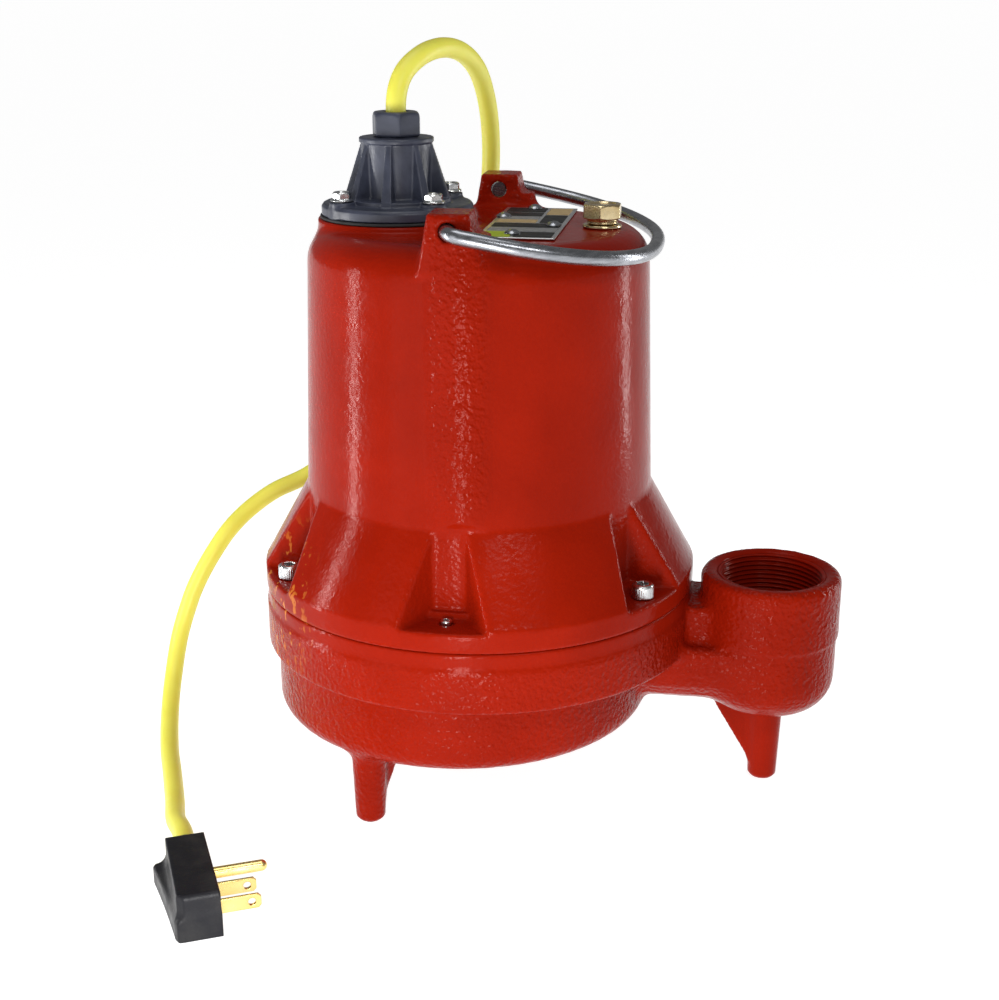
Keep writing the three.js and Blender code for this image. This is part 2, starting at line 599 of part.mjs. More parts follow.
class BailCurve extends THREE.CurvePath {
  constructor() {
    super();
    const b = BAIL;
    const at = (s, y) => new THREE.Vector3(s * Math.cos(b.tilt), y, b.pivotZ - s * Math.sin(b.tilt));
    const half = [at(0, b.end)];
    const bends = 6;
    for (let i = 0; i <= bends; i++) {
      const a = (Math.PI / 2) * (i / bends);
      half.push(at(b.bend * (1 - Math.cos(a)), b.half - b.bend * (1 - Math.sin(a))));
    }
    const spans = 16;
    const power = 2 / b.square;
    for (let i = 1; i <= spans; i++) {
      const a = (Math.PI / 2) * (i / spans);
      half.push(at(b.bend + (b.reach - b.bend) * Math.sin(a) ** power, b.half * Math.cos(a) ** power));
    }
    const mirrored = half.slice(0, -1).map((point) => new THREE.Vector3(point.x, -point.y, point.z));
    const points = [...mirrored, ...half.reverse()];
    for (let i = 1; i < points.length; i++) this.add(new THREE.LineCurve3(points[i - 1], points[i]));
  }
}
piece("handle_bail", rod(new BailCurve(), BAIL.rodR, 8, 84), stainless);

function oilFillPlug() {
  const top = HOUSING.top;
  const shank = discAt(0, 0, 5.6, top - 8, top + 3, SMALL);
  const collar = discAt(0, 0, 6.8, top + 1.9, top + 4.4, 24);
  return shank.add(collar).add(hexHead(15.6, top + 4, top + 10.4, 0.8));
}
piece("oil_fill_plug", geometryOf(oilFillPlug()), brass, OIL_PLUG.x, 0, 0);
piece("oil_plug_washer", ring(5.9, 8.4, HOUSING.top + GAP, HOUSING.top + 1.6, 24), brass, OIL_PLUG.x, 0, 0);

const n = NAMEPLATE;
let nameplate = box(n.x - n.wide / 2, n.x + n.wide / 2, n.y - n.long / 2, n.y + n.long / 2, n.z,
  n.z + n.thick);
for (const [x, y] of PIN_SPOTS) nameplate = nameplate.subtract(discAt(x, y, 1.7, n.z - 1, n.z + 2, 12));
piece("nameplate", geometryOf(nameplate), aluminium);

PIN_SPOTS.forEach(([x, y], i) => {
  const seat = n.z + n.thick + GAP;
  const foot = HOUSING.top - 3.5;
  const profile = [[0, foot], [1.3, foot], [1.3, seat], [3, seat], [2.4, seat + 1.4], [0, seat + 2.1]];
  piece("nameplate_pin_" + (i + 1), turned(profile, SMALL), stainless, x, y, 0);
});

// ---------------------------------------------------------------- power lead and plug

const routePoints = CORD_ROUTE.map(([x, y, z]) => new THREE.Vector3(x, y, z));
const route = new THREE.CatmullRomCurve3(routePoints, false, "centripetal");
piece("power_cord", rod(route, CORD.r, CORD.sides, CORD.steps), yellowJacket);

// The plug's own frame: x runs out along the pins, y towards the cord, z up. Its back corner on the pin
// face is 0, 0.
const plug = new THREE.Group();
plug.position.set(PLUG.x, PLUG.y, 0);
plug.rotation.z = PLUG.yaw;
pump.add(plug);

function plugPiece(name, geometry, material) {
  const mesh = new THREE.Mesh(geometry, material());
  mesh.name = name;
  plug.add(mesh);
}

const bladeYs = [BLADE.middle - BLADE.apart / 2, BLADE.middle + BLADE.apart / 2];

function blade(y, clear) {
  const half = BLADE.wide / 2 + clear;
  const side = BLADE.thick / 2 + clear;
  return box(-BLADE.buried - clear, BLADE.long, y - side, y + side, BLADE.z - half, BLADE.z + half);
}

function groundPin(clear) {
  const p = GROUND_PIN;
  const r = p.r + clear;
  const profile = [[0, -BLADE.buried - clear], [r, -BLADE.buried - clear], [r, p.long - r],
    [0.7 * r, p.long - 0.3 * r], [0, p.long]];
  return turned(profile, SMALL).rotateY(Math.PI / 2).translate(0, BLADE.middle, p.z);
}

function plugBody() {
  const end = -PLUG.long;
  const block = (points, high) => {
    const bevel = { bevelThickness: 1, bevelSize: 1, bevelOffset: -1, bevelSegments: 1 };
    const prism = new THREE.ExtrudeGeometry(outline(points), { depth: high - 2, ...bevel });
    return solid(prism.translate(0, 0, 1));
  };
  const prism = block([[0, 0], [0, end], [-16, end], [-18, end + 2], [-17, 0]], PLUG.high);
  const side = [[2, -1], [2, PLUG.high], [end + PLUG.round, PLUG.endHigh], [end + 0.9, PLUG.endHigh - 0.9],
    [end, PLUG.endHigh - PLUG.round], [end, -1]];
  const grip = prism.intersect(barAlongX(side, -30, 5));
  const base = block([[0, 0], [0, end], [-16, end], [-18.5, end + 3], [-22.5, -2], [-21.5, 0]],
    PLUG.baseHigh);
  const along = (geometry, y) => solid(geometry.translate(PLUG.cordX, y, PLUG.cordZ));
  const relief = along(new THREE.CylinderGeometry(5.8, 6.8, 13, SMALL), 1.5);
  const cordHole = along(new THREE.CylinderGeometry(CORD.r + GAP, CORD.r + GAP, 16, SMALL), 12);
  let body = grip.add(base).add(relief).subtract(cordHole);
  for (const y of bladeYs) body = body.subtract(blade(y, GAP));
  return body.subtract(solid(groundPin(GAP)));
}
plugPiece("plug_body", geometryOf(plugBody()), blackNylon);

bladeYs.forEach((y, i) => {
  const tipHole = new THREE.CylinderGeometry(1.6, 1.6, 10, 12).translate(BLADE.long - 4, y, BLADE.z);
  plugPiece("plug_blade_" + (i + 1), geometryOf(blade(y, 0).subtract(solid(tipHole))), brass);
});
plugPiece("plug_ground_pin", groundPin(0), brass);

export default pump;
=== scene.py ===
"""Submersible sump pump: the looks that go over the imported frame.

Shapes are worked out in millimetres about the motor axis, with z up from the floor, and placed in metres.
"""
import json
import math
from functools import reduce

import bpy
import numpy as np
from mathutils import Matrix, Vector


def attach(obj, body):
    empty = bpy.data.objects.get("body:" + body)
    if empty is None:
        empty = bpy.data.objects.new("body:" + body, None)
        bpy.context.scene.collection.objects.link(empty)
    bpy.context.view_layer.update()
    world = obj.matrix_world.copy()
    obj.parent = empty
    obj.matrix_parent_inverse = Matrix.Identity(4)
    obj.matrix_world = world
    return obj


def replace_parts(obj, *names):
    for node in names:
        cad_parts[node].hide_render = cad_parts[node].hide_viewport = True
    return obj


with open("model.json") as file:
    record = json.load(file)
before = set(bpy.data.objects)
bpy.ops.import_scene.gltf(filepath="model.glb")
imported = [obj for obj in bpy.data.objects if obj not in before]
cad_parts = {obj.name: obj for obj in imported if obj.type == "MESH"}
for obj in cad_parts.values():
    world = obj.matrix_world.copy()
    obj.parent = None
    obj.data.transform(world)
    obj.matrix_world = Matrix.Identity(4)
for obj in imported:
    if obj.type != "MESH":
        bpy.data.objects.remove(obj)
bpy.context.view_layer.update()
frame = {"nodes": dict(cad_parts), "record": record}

MM = 0.001
COARSE = 1.0
CASTING_STEP = 1.25
PAST_AXIS = -30.0  # where the profile of a turned solid closes, out of reach of its surface

AXIS_X = -34.0  # the motor axis in the row frame
CASING_TOP, HOUSING_FOOT = 96.85, 97.15  # the two sides of the seam

DISCHARGE_X = 136.0
CAVITY_X, CAVITY_R, CAVITY_FLOOR = -8.0, 79.0, 43.0
LEGS = [(DISCHARGE_X + 0.6, 0.0), (-39.5, -68.4), (-39.5, 68.4)]

BODY_LOW, BODY_TOP = 79.2, 75.75  # the wall's radius at its foot and under its shoulder
POCKET_FLOOR = 106.0
POCKET_ANGLES = range(0, 360, 60)
BOLT_R, BOLT_ANGLES = 92.0, (-60, 60, 180)
SET_SCREW_R, SET_SCREW_ANGLES = 87.0, (0, 120, 240)

PAD_X, PAD_R, PAD_TOP = -36.4, 35.3, 262.8
PLATE_SCREW_R = 28.5
NUT_TURN, NUT_TOP = math.radians(20), 308.5
CORD_R = 4.45

PIVOT_Z = 268.2
OIL_PLUG = (54.6, 0.0)


# ---------------------------------------------------------------- camera, floor and light
# Metres, in the row frame.

CAMERA_PLACE = (0.0812, -0.6891, 0.3631)
CAMERA_WAY = (-0.14424, 0.93832, -0.31424)
CAMERA_LENS = 56.68

WORLD_STRENGTH = 0.2
FLOOR_GLOW = 0.87
FLOOR_HALF = 40.0
MIDDLE = (-0.03, 0.0, 0.17)
LIGHTS = [  # name, place, target, width and height, watts
    ("strip_left", (-0.515, -0.138, 0.17), (-0.034, 0.0, 0.17), (0.018, 0.34), 1.2),
    ("broad_left", (-0.40, -0.52, 0.22), MIDDLE, (0.26, 0.44), 0.45),
    ("low_front", (-0.03, -0.40, 0.09), (-0.03, 0.0, 0.09), (0.055, 0.15), 0.85),
    ("window", (0.30, -0.60, 0.70), MIDDLE, (0.35, 0.10), 1.3),
    ("strip_right", (0.62, 0.34, 0.25), MIDDLE, (0.06, 0.5), 1.4),
    ("overhead", (-0.1, -0.1, 1.2), MIDDLE, (0.5, 0.5), 2.2),
]


def make_camera():
    """A 57 mm lens, a little to the right of the pump and above it."""
    data = bpy.data.cameras.new("camera")
    data.sensor_width = 36.0
    data.lens = CAMERA_LENS
    data.clip_start = 0.01
    camera = bpy.data.objects.new("camera", data)
    bpy.context.scene.collection.objects.link(camera)
    camera.location = CAMERA_PLACE
    turn = Vector(CAMERA_WAY).to_track_quat("-Z", "Y").to_matrix().to_4x4()
    camera.rotation_euler = turn.to_euler()
    bpy.context.scene.camera = camera


def area_light(name, place, target, size, power):
    data = bpy.data.lights.new(name, "AREA")
    data.shape = "RECTANGLE"
    data.size, data.size_y = size
    data.energy = power
    light = bpy.data.objects.new(name, data)
    bpy.context.scene.collection.objects.link(light)
    light.location = place
    light.rotation_euler = (Vector(target) - Vector(place)).to_track_quat("-Z", "Y").to_euler()


def make_studio():
    """Soft boxes left, right, low in front, high in front and overhead, a dim world and a pale floor."""
    scene = bpy.context.scene
    scene.view_settings.view_transform = "Standard"
    world = bpy.data.worlds.new("studio")
    scene.world = world
    world.use_nodes = True
    background = world.node_tree.nodes["Background"]
    background.inputs["Color"].default_value = (1.0, 1.0, 1.0, 1.0)
    background.inputs["Strength"].default_value = WORLD_STRENGTH
    for light in LIGHTS:
        area_light(*light)
    mesh = bpy.data.meshes.new("floor")
    corners = [(x * FLOOR_HALF, y * FLOOR_HALF, 0) for x, y in ((-1, -1), (1, -1), (1, 1), (-1, 1))]
    mesh.from_pydata(corners, [], [(0, 1, 2, 3)])
    floor = bpy.data.objects.new("floor", mesh)
    scene.collection.objects.link(floor)
    mesh.materials.append(plain_floor())


# ---------------------------------------------------------------- materials


EVEN = (1.0, 1.0, 1.0)
CHIPS_PLACE = (-0.118, -0.052, 0.098)  # the left of the bolted flange, in metres
CHIPS_FULL, CHIPS_NONE = 0.015, 0.04


class Look:
    """A principled material, with short calls for the nodes that feed it."""

    def __init__(self, name, **sockets):
        self.material = bpy.data.materials.new(name)
        self.material.use_nodes = True
        self.tree = self.material.node_tree
        self.shader = self.tree.nodes["Principled BSDF"]
        for key, value in sockets.items():
            self.shader.inputs[key.replace("_", " ")].default_value = value

    def node(self, kind, **settings):
        made = self.tree.nodes.new("ShaderNode" + kind)
        for key, value in settings.items():
            if hasattr(made, key):
                setattr(made, key, value)
            else:
                made.inputs[key.replace("_", " ")].default_value = value
        return made

    def link(self, out, into):
        self.tree.links.new(out, into)

    def noise(self, scale, detail=3.0, stretch=EVEN):
        """Noise over the row frame's metres."""
        where = self.node("TexCoord").outputs["Object"]
        mapping = self.node("Mapping")
        mapping.inputs["Scale"].default_value = stretch
        self.link(where, mapping.inputs["Vector"])
        made = self.node("TexNoise", Scale=scale, Detail=detail, Roughness=0.55)
        self.link(mapping.outputs["Vector"], made.inputs["Vector"])
        return made.outputs["Fac"]

    def spread(self, fac, low, high, start=0.3, stop=0.7):
        """fac from start to stop becomes low to high."""
        made = self.node("MapRange")
        for key, value in zip(("From Min", "From Max", "To Min", "To Max"), (start, stop, low, high)):
            made.inputs[key].default_value = value
        self.link(fac, made.inputs["Value"])
        return made.outputs["Result"]

    def blend(self, fac, first, second):
        """A colour between first and second, each a colour or a socket."""
        made = self.node("Mix", data_type="RGBA")
        self.link(fac, made.inputs[0])
        for socket, value in ((made.inputs[6], first), (made.inputs[7], second)):
            if hasattr(value, "links"):
                self.link(value, socket)
            else:
                socket.default_value = (*value, 1.0)
        return made.outputs[2]

    def sum(self, *terms):
        """Adds sockets, each with its weight, which may be a socket too."""
        total = None
        for value, weight in terms:
            made = self.node("Math", operation="MULTIPLY_ADD")
            self.link(value, made.inputs[0])
            if hasattr(weight, "links"):
                self.link(weight, made.inputs[1])
            else:
                made.inputs[1].default_value = weight
            if total is None:
                made.inputs[2].default_value = 0.0
            else:
                self.link(total, made.inputs[2])
            total = made.outputs[0]
        return total

    def near(self, place, full, none):
        """1 within full metres of place, falling to 0 at none."""
        made = self.node("VectorMath", operation="DISTANCE")
        self.link(self.node("TexCoord").outputs["Object"], made.inputs[0])
        made.inputs[1].default_value = place
        return self.spread(made.outputs["Value"], 1.0, 0.0, full, none)

    def bump(self, height, distance=0.001, strength=1.0):
        made = self.node("Bump", Distance=distance, Strength=strength)
        self.link(height, made.inputs["Height"])
        self.link(made.outputs["Normal"], self.shader.inputs["Normal"])

    def colour(self, socket):
        self.link(socket, self.shader.inputs["Base Color"])

    def roughness(self, socket):
        self.link(socket, self.shader.inputs["Roughness"])


def plain_floor():
    white = (1.0, 1.0, 1.0, 1.0)
    look = Look("pale_floor", Roughness=0.6, Emission_Color=white, Emission_Strength=FLOOR_GLOW)
    look.colour(look.blend(look.noise(3.0), (0.5, 0.5, 0.5), (0.52, 0.52, 0.52)))
    return look.material


def red_enamel():
    """Thick gloss enamel over iron. The attribute "cast" says how rough the iron under it is."""
    look = Look("red_enamel", IOR=1.5, Specular_IOR_Level=0.08, Specular_Tint=(1.0, 0.6, 0.55, 1.0))
    deep, bright = (0.22, 0.007, 0.001), (0.31, 0.011, 0.002)
    speck, primer = (0.20, 0.005, 0.002), (0.62, 0.20, 0.03)
    patches = look.spread(look.noise(16.0, 4.0), 0.0, 1.0)
    fine = look.spread(look.noise(900.0, 2.0), 0.0, 1.0)
    base = look.blend(patches, deep, bright)
    worn = look.blend(look.sum((fine, 0.22)), base, speck)
    flange_left = look.near(CHIPS_PLACE, CHIPS_FULL, CHIPS_NONE)
    chips = look.spread(look.noise(260.0, 2.0, (1.0, 1.0, 0.5)), 0.0, 0.9, 0.60, 0.64)
    look.colour(look.blend(look.sum((chips, flange_left)), worn, primer))
    look.roughness(look.spread(look.noise(120.0), 0.12, 0.24))
    cast = look.node("Attribute", attribute_name="cast").outputs["Fac"]
    peel = look.noise(420.0, 1.0)
    pebbles = look.noise(480.0, 0.5)
    pits = look.noise(900.0, 0.5)
    rough = look.sum((pebbles, 0.75), (pits, 0.25))
    look.bump(look.sum((peel, 0.12), (rough, cast)), 0.0013, 0.8)
    return look.material


def metal(name, dark, light, low, high, scale, stretch=EVEN, grain=0.00003):
    """A metal between two tints, with its roughness from low to high and a fine grain."""
    look = Look(name, Metallic=1.0)
    look.colour(look.blend(look.spread(look.noise(scale, 4.0, stretch), 0.0, 1.0), dark, light))
    look.roughness(look.spread(look.noise(scale * 3.0, 3.0, stretch), low, high))
    look.bump(look.noise(scale * 12.0, 2.0, stretch), grain, 0.6)
    return look.material


def black_nylon():
    """Glass-filled nylon, satin, with a fine mottle."""
    look = Look("black_nylon", IOR=1.5)
    mottle = look.spread(look.noise(90.0, 4.0), 0.0, 1.0)
    look.colour(look.blend(mottle, (0.025, 0.029, 0.046), (0.055, 0.062, 0.095)))
    look.roughness(look.spread(look.noise(300.0), 0.3, 0.46))
    look.bump(look.sum((look.noise(1500.0, 2.0), 0.6), (look.noise(260.0), 0.6)), 0.0002, 0.5)
    return look.material


def black_vinyl():
    """Moulded vinyl with a little dust."""
    look = Look("black_vinyl", IOR=1.5, Specular_IOR_Level=0.3)
    dust = look.spread(look.noise(70.0, 5.0), 0.0, 1.0, 0.45, 0.75)
    look.colour(look.blend(dust, (0.005, 0.005, 0.008), (0.022, 0.021, 0.021)))
    look.roughness(look.spread(look.noise(240.0), 0.34, 0.52))
    look.bump(look.noise(1300.0, 2.0), 0.00015, 0.6)
    return look.material


def black_rubber():
    look = Look("black_rubber", IOR=1.45)
    look.colour(look.blend(look.noise(200.0), (0.014, 0.014, 0.014), (0.03, 0.03, 0.03)))
    look.roughness(look.spread(look.noise(150.0), 0.6, 0.8))
    return look.material


def yellow_jacket():
    """Vinyl cord jacket with faint handling marks."""
    look = Look("yellow_jacket", IOR=1.5, Subsurface_Weight=0.08, Subsurface_Scale=0.003)
    marks = look.spread(look.noise(45.0, 5.0), 0.0, 1.0, 0.45, 0.8)
    look.colour(look.blend(marks, (0.84, 0.80, 0.10), (0.78, 0.73, 0.07)))
    look.roughness(look.spread(look.noise(160.0), 0.36, 0.5))
    look.bump(look.sum((look.noise(900.0, 2.0), 0.5), (look.noise(60.0), 0.8)), 0.0002, 0.5)
    return look.material


def printed(name, colour, tint):
    """A dull, nearly even surface: ink, ceramic, carbon or a lead's sleeve."""
    look = Look(name, IOR=1.5, Specular_IOR_Level=0.2)
    look.colour(look.blend(look.spread(look.noise(500.0), 0.0, 1.0), colour, tint))
    look.roughness(look.spread(look.noise(400.0), 0.45, 0.6))
    return look.material


METALS = {  # dark and light tint, low and high roughness, scale, then stretch and grain where they differ
    "bare_iron": ((0.10, 0.10, 0.105), (0.22, 0.22, 0.225), 0.45, 0.7, 150.0, EVEN, 0.0003),
    "zinc_plated": ((0.50, 0.52, 0.54), (0.78, 0.78, 0.76), 0.16, 0.34, 180.0),
    "stainless": ((0.22, 0.23, 0.25), (0.40, 0.41, 0.44), 0.2, 0.34, 120.0, (1.0, 1.0, 6.0)),
    "bearing_steel": ((0.5, 0.5, 0.51), (0.62, 0.62, 0.63), 0.1, 0.2, 90.0),
    "lamination_steel": ((0.2, 0.2, 0.21), (0.36, 0.36, 0.37), 0.35, 0.5, 30.0, (1, 1, 60)),
    "copper_winding": ((0.38, 0.13, 0.05), (0.6, 0.25, 0.1), 0.25, 0.4, 200.0, (1, 1, 4)),
    "brass": ((0.62, 0.47, 0.24), (0.78, 0.65, 0.40), 0.14, 0.3, 150.0),
    "pin_brass": ((0.86, 0.62, 0.20), (0.95, 0.76, 0.34), 0.2, 0.34, 60.0, EVEN, 0.000008),
    "bare_aluminium": ((0.6, 0.6, 0.61), (0.78, 0.78, 0.78), 0.25, 0.4, 60.0, (1, 12, 1)),
}
PLAIN = {  # colour and tint
    "ceramic": ((0.8, 0.78, 0.72), (0.72, 0.7, 0.64)),
    "carbon": ((0.015, 0.015, 0.017), (0.03, 0.03, 0.03)),
    "lead_black": ((0.015, 0.015, 0.015), (0.03, 0.03, 0.03)),
    "lead_white": ((0.75, 0.75, 0.72), (0.68, 0.68, 0.65)),
    "lead_green": ((0.02, 0.2, 0.06), (0.02, 0.15, 0.05)),
    "print_black": ((0.012, 0.012, 0.013), (0.03, 0.03, 0.03)),
    "print_lime": ((0.42, 0.52, 0.03), (0.34, 0.44, 0.03)),
    "print_tan": ((0.55, 0.40, 0.20), (0.45, 0.32, 0.16)),
    "print_grey": ((0.30, 0.30, 0.30), (0.22, 0.22, 0.22)),
}


def make_looks():
    """Every material by name. Those of the frame have the name of their slot."""
    made = {
        "red_enamel": red_enamel(),
        "black_nylon": black_nylon(),
        "black_vinyl": black_vinyl(),
        "black_rubber": black_rubber(),
        "yellow_jacket": yellow_jacket(),
    }
    made.update((name, metal(name, *values)) for name, values in METALS.items())
    made.update((name, printed(name, *values)) for name, values in PLAIN.items())
    return made


# ---------------------------------------------------------------- distance shapes
# A shape is a function of x, y, z arrays that gives the signed distance to its surface, negative inside.


def polygon(points, a, b):
    """Signed distance from (a, b) to a closed outline."""
    nearest = np.inf
    sign = 1.0
    for (ax, ay), (bx, by) in zip(points, points[1:] + points[:1]):
        ex, ey = bx - ax, by - ay
        if ex * ex + ey * ey < 1e-9:
            continue
        wx, wy = a - ax, b - ay
        t = np.clip((wx * ex + wy * ey) / (ex * ex + ey * ey), 0, 1)
        nearest = np.minimum(nearest, (wx - ex * t) ** 2 + (wy - ey * t) ** 2)
        above, below, left = b >= ay, b < by, ex * wy > ey * wx
        sign = np.where((above & below & left) | ~(above | below | left), -sign, sign)
    return sign * np.sqrt(nearest)


def turned(profile, at=(0.0, 0.0)):
    """A profile of [radius, height] turned about an upright axis.

    On a grid the distances come from a table by radius, and at loose points from the profile itself.
    """
    spacing = 0.2

    def shape(x, y, z):
        r = np.hypot(x - at[0], y - at[1])
        if z.ndim < 3:
            return polygon(profile, r, z)
        steps = np.arange(0, r.max() + 2 * spacing, spacing)
        table = polygon(profile, steps[:, None], z.ravel()[None, :]).astype(np.float32)
        place = r[:, :, 0] / spacing
        low = place.astype(int)
        part = (place - low)[:, :, None].astype(np.float32)
        return table[low] * (1 - part) + table[low + 1] * part

    return shape


def solid(*outside, at=(0.0, 0.0)):
    """A turned solid from its outside points, the lowest first."""
    return turned([(PAST_AXIS, outside[0][1]), *outside, (PAST_AXIS, outside[-1][1])], at)


def cylinder(r, z0, z1, at=(0.0, 0.0)):
    """An upright cylinder, used to add and to cut."""
    return solid((r, z0), (r, z1), at=at)


def arc(cx, cy, r, start, stop, count=8):
    """Points round a corner, angles in degrees."""
    angles = np.radians(np.linspace(start, stop, count + 1))
    return [(cx + r * math.cos(a), cy + r * math.sin(a)) for a in angles]


def brick(x0, x1, y0, y1, z0, z1, round_r=0.0):
    """A box with its edges rounded by round_r."""
    centre = ((x0 + x1) / 2, (y0 + y1) / 2, (z0 + z1) / 2)
    half = ((x1 - x0) / 2 - round_r, (y1 - y0) / 2 - round_r, (z1 - z0) / 2 - round_r)

    def shape(x, y, z):
        q = [np.abs(v - c) - h for v, c, h in zip((x, y, z), centre, half)]
        outside = np.sqrt(sum(np.maximum(v, 0) ** 2 for v in q))
        return outside + np.minimum(np.maximum(np.maximum(q[0], q[1]), q[2]), 0) - round_r

    return shape


def union(*fields):
    """Sharp union of distances."""
    return reduce(np.minimum, fields)


def join(a, b, k):
    """Union with a fillet of about k."""
    h = np.clip(0.5 + 0.5 * (b - a) / k, 0, 1)
    return b * (1 - h) + a * h - k * h * (1 - h)


def cut(a, b, k):
    """a less b, with the edge softened over about k."""
    return -join(-a, b, k)


def meet(a, b, k):
    """What a and b share, with the edge softened over about k."""
    return -join(-a, -b, k)


def hexagon(x, y, flats):
    """Distance to a hexagon with two corners on the Y axis."""
    sides = [np.abs(x * math.cos(a) + y * math.sin(a)) for a in (0.0, math.pi / 3, -math.pi / 3)]
    return np.maximum(np.maximum(sides[0], sides[1]), sides[2]) - flats / 2


def lumps(x, y, z, size, seed):
    """Smooth noise of about that size in mm, from a few waves in fixed directions, mostly within -1 to 1."""
    spin = np.random.default_rng(seed)
    waves = 9
    total = 0.0
    for _ in range(waves):
        way = spin.normal(size=3)
        way /= np.linalg.norm(way)
        pitch = 2 * math.pi / (size * spin.uniform(0.75, 1.6))
        total = total + np.sin(pitch * (x * way[0] + y * way[1] + z * way[2]) + spin.uniform(0, 6.3))
    return total / waves ** 0.5 / 1.5


# ---------------------------------------------------------------- skins


def new_object(name, mesh, look, body):
    """A piece with its look, its body and its slot, which has the look's name."""
    piece = bpy.data.objects.new(name, mesh)
    bpy.context.scene.collection.objects.link(piece)
    piece.data.materials.append(looks[look])
    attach(piece, body)
    return piece


def surface_net(field):
    """Points in grid units and four-cornered faces, from a field that is negative inside."""
    inside = field < 0
    cells = np.array(field.shape) - 1
    spots, owners, quads = [], [], []
    for axis in range(3):
        head = [slice(None)] * 3
        tail = [slice(None)] * 3
        head[axis], tail[axis] = slice(None, -1), slice(1, None)
        index = np.argwhere(inside[tuple(head)] != inside[tuple(tail)])
        u, v = (axis + 1) % 3, (axis + 2) % 3
        iu, iv = index[:, u], index[:, v]
        index = index[(iu > 0) & (iv > 0) & (iu < cells[u]) & (iv < cells[v])]
        start = field[tuple(index.T)]
        after = index.copy()
        after[:, axis] += 1
        share = start / (start - field[tuple(after.T)])
        point = index.astype(float)
        point[:, axis] += share
        ring = []
        for du, dv in ((0, 0), (-1, 0), (-1, -1), (0, -1)):
            cell = index.copy()
            cell[:, u] += du
            cell[:, v] += dv
            ring.append(np.ravel_multi_index(cell.T, cells))
            spots.append(point)
            owners.append(ring[-1])
        quad = np.stack(ring, 1)
        back = start >= 0
        quad[back] = quad[back][:, ::-1]
        quads.append(quad)
    owners, spots, quads = np.concatenate(owners), np.concatenate(spots), np.concatenate(quads)
    used, slots = np.unique(owners, return_inverse=True)
    count = np.bincount(slots)
    points = np.stack([np.bincount(slots, spots[:, k]) / count for k in range(3)], 1)
    return points, np.searchsorted(used, quads)


def settle(points, shape, step):
    """Moves the points onto the surface in two short steps, and gives the slope of shape at each."""
    reach = 0.05 * step
    longest = 0.4 * step
    for _ in range(2):
        value = shape(*points.T)
        slope = np.stack([shape(*(points + reach * way).T) - value for way in np.eye(3)], 1) / reach
        move = value[:, None] * slope / np.maximum((slope ** 2).sum(1), 0.25)[:, None]
        points = points - np.clip(move, -longest, longest)
    return points, slope


def skin(name, shape, low, high, step, cast=None, place=None):
    """Mesh of the surface where shape is zero, made on a grid from low to high.

    cast gives the "cast" attribute and a swell, and place maps the points to their final spot.
    """
    axes = [np.arange(a - step, b + 2 * step, step, dtype=np.float32) for a, b in zip(low, high)]
    size = [len(a) for a in axes]
    x, y, z = axes[0][:, None, None], axes[1][None, :, None], axes[2][None, None, :]
    field = np.ascontiguousarray(np.broadcast_to(shape(x, y, z), size), dtype=np.float32)
    points, faces = surface_net(field)
    points, slope = settle(points * step + [a[0] for a in axes], shape, step)
    rough = None
    if cast is not None:
        rough, swell = cast(*points.T)
        slope /= np.maximum(np.linalg.norm(slope, axis=1), 0.3)[:, None]
        points += slope * swell[:, None]
    if place is not None:
        points = place(points)
    mesh = bpy.data.meshes.new(name)
    mesh.from_pydata(((points + [AXIS_X, 0, 0]) * MM).tolist(), [], faces.tolist())
    mesh.shade_smooth()
    if rough is not None:
        mesh.attributes.new("cast", "FLOAT", "POINT").data.foreach_set("value", rough.astype(np.float32))
    return mesh


def on_circle(r, degrees):
    """A place round the motor axis: 0 is towards -Y and turns towards +X."""
    a = math.radians(degrees)
    return r * math.sin(a), -r * math.cos(a)


def swept(name, points, r, look, body, sides=10):
    """A round rod along points in mm about the motor axis, as a curve of one spline."""
    data = bpy.data.curves.new(name, "CURVE")
    data.dimensions = "3D"
    data.bevel_depth = r * MM
    data.bevel_resolution = sides
    data.use_fill_caps = True
    spline = data.splines.new("POLY")
    spline.points.add(len(points) - 1)
    for spot, (x, y, z) in zip(spline.points, points):
        spot.co = ((x + AXIS_X) * MM, y * MM, z * MM, 1.0)
    spline.use_smooth = True
    return new_object(name, data, look, body)


# ---------------------------------------------------------------- power cord
# The route of the frame's own cord, from inside the gland to inside the plug.

CORD_ROUTE = [
    (-36.4, 0, 280), (-36.4, 0, 300), (-36, 1, 316), (-33.5, 5, 324.5), (-28, 13, 331), (-21.5, 26, 334),
    (-15.5, 42, 332), (-11, 58, 324.5), (-9, 74, 311.5), (-8.5, 86, 294), (-9.5, 93, 273), (-13, 96, 247),
    (-22, 97.5, 218), (-36, 98, 188), (-56, 96.5, 160), (-80, 92, 134), (-107, 87, 112.5), (-125, 81, 104),
    (-137, 72, 95.5), (-145, 63, 87), (-151, 56, 77.5), (-156, 50.5, 68), (-160, 46, 58.5),
    (-163, 42, 48.5), (-165, 37, 39), (-165.5, 31, 30.5), (-164.5, 22.5, 23), (-162.5, 12, 16.5),
    (-157.5, -6, 9.5), (-149, -30, 5.6), (-141, -49, 5), (-129.5, -77, 5.6), (-121.5, -97.5, 8),
    (-113.5, -111.3, 10.4), (-106.7, -125, 10.6),
]


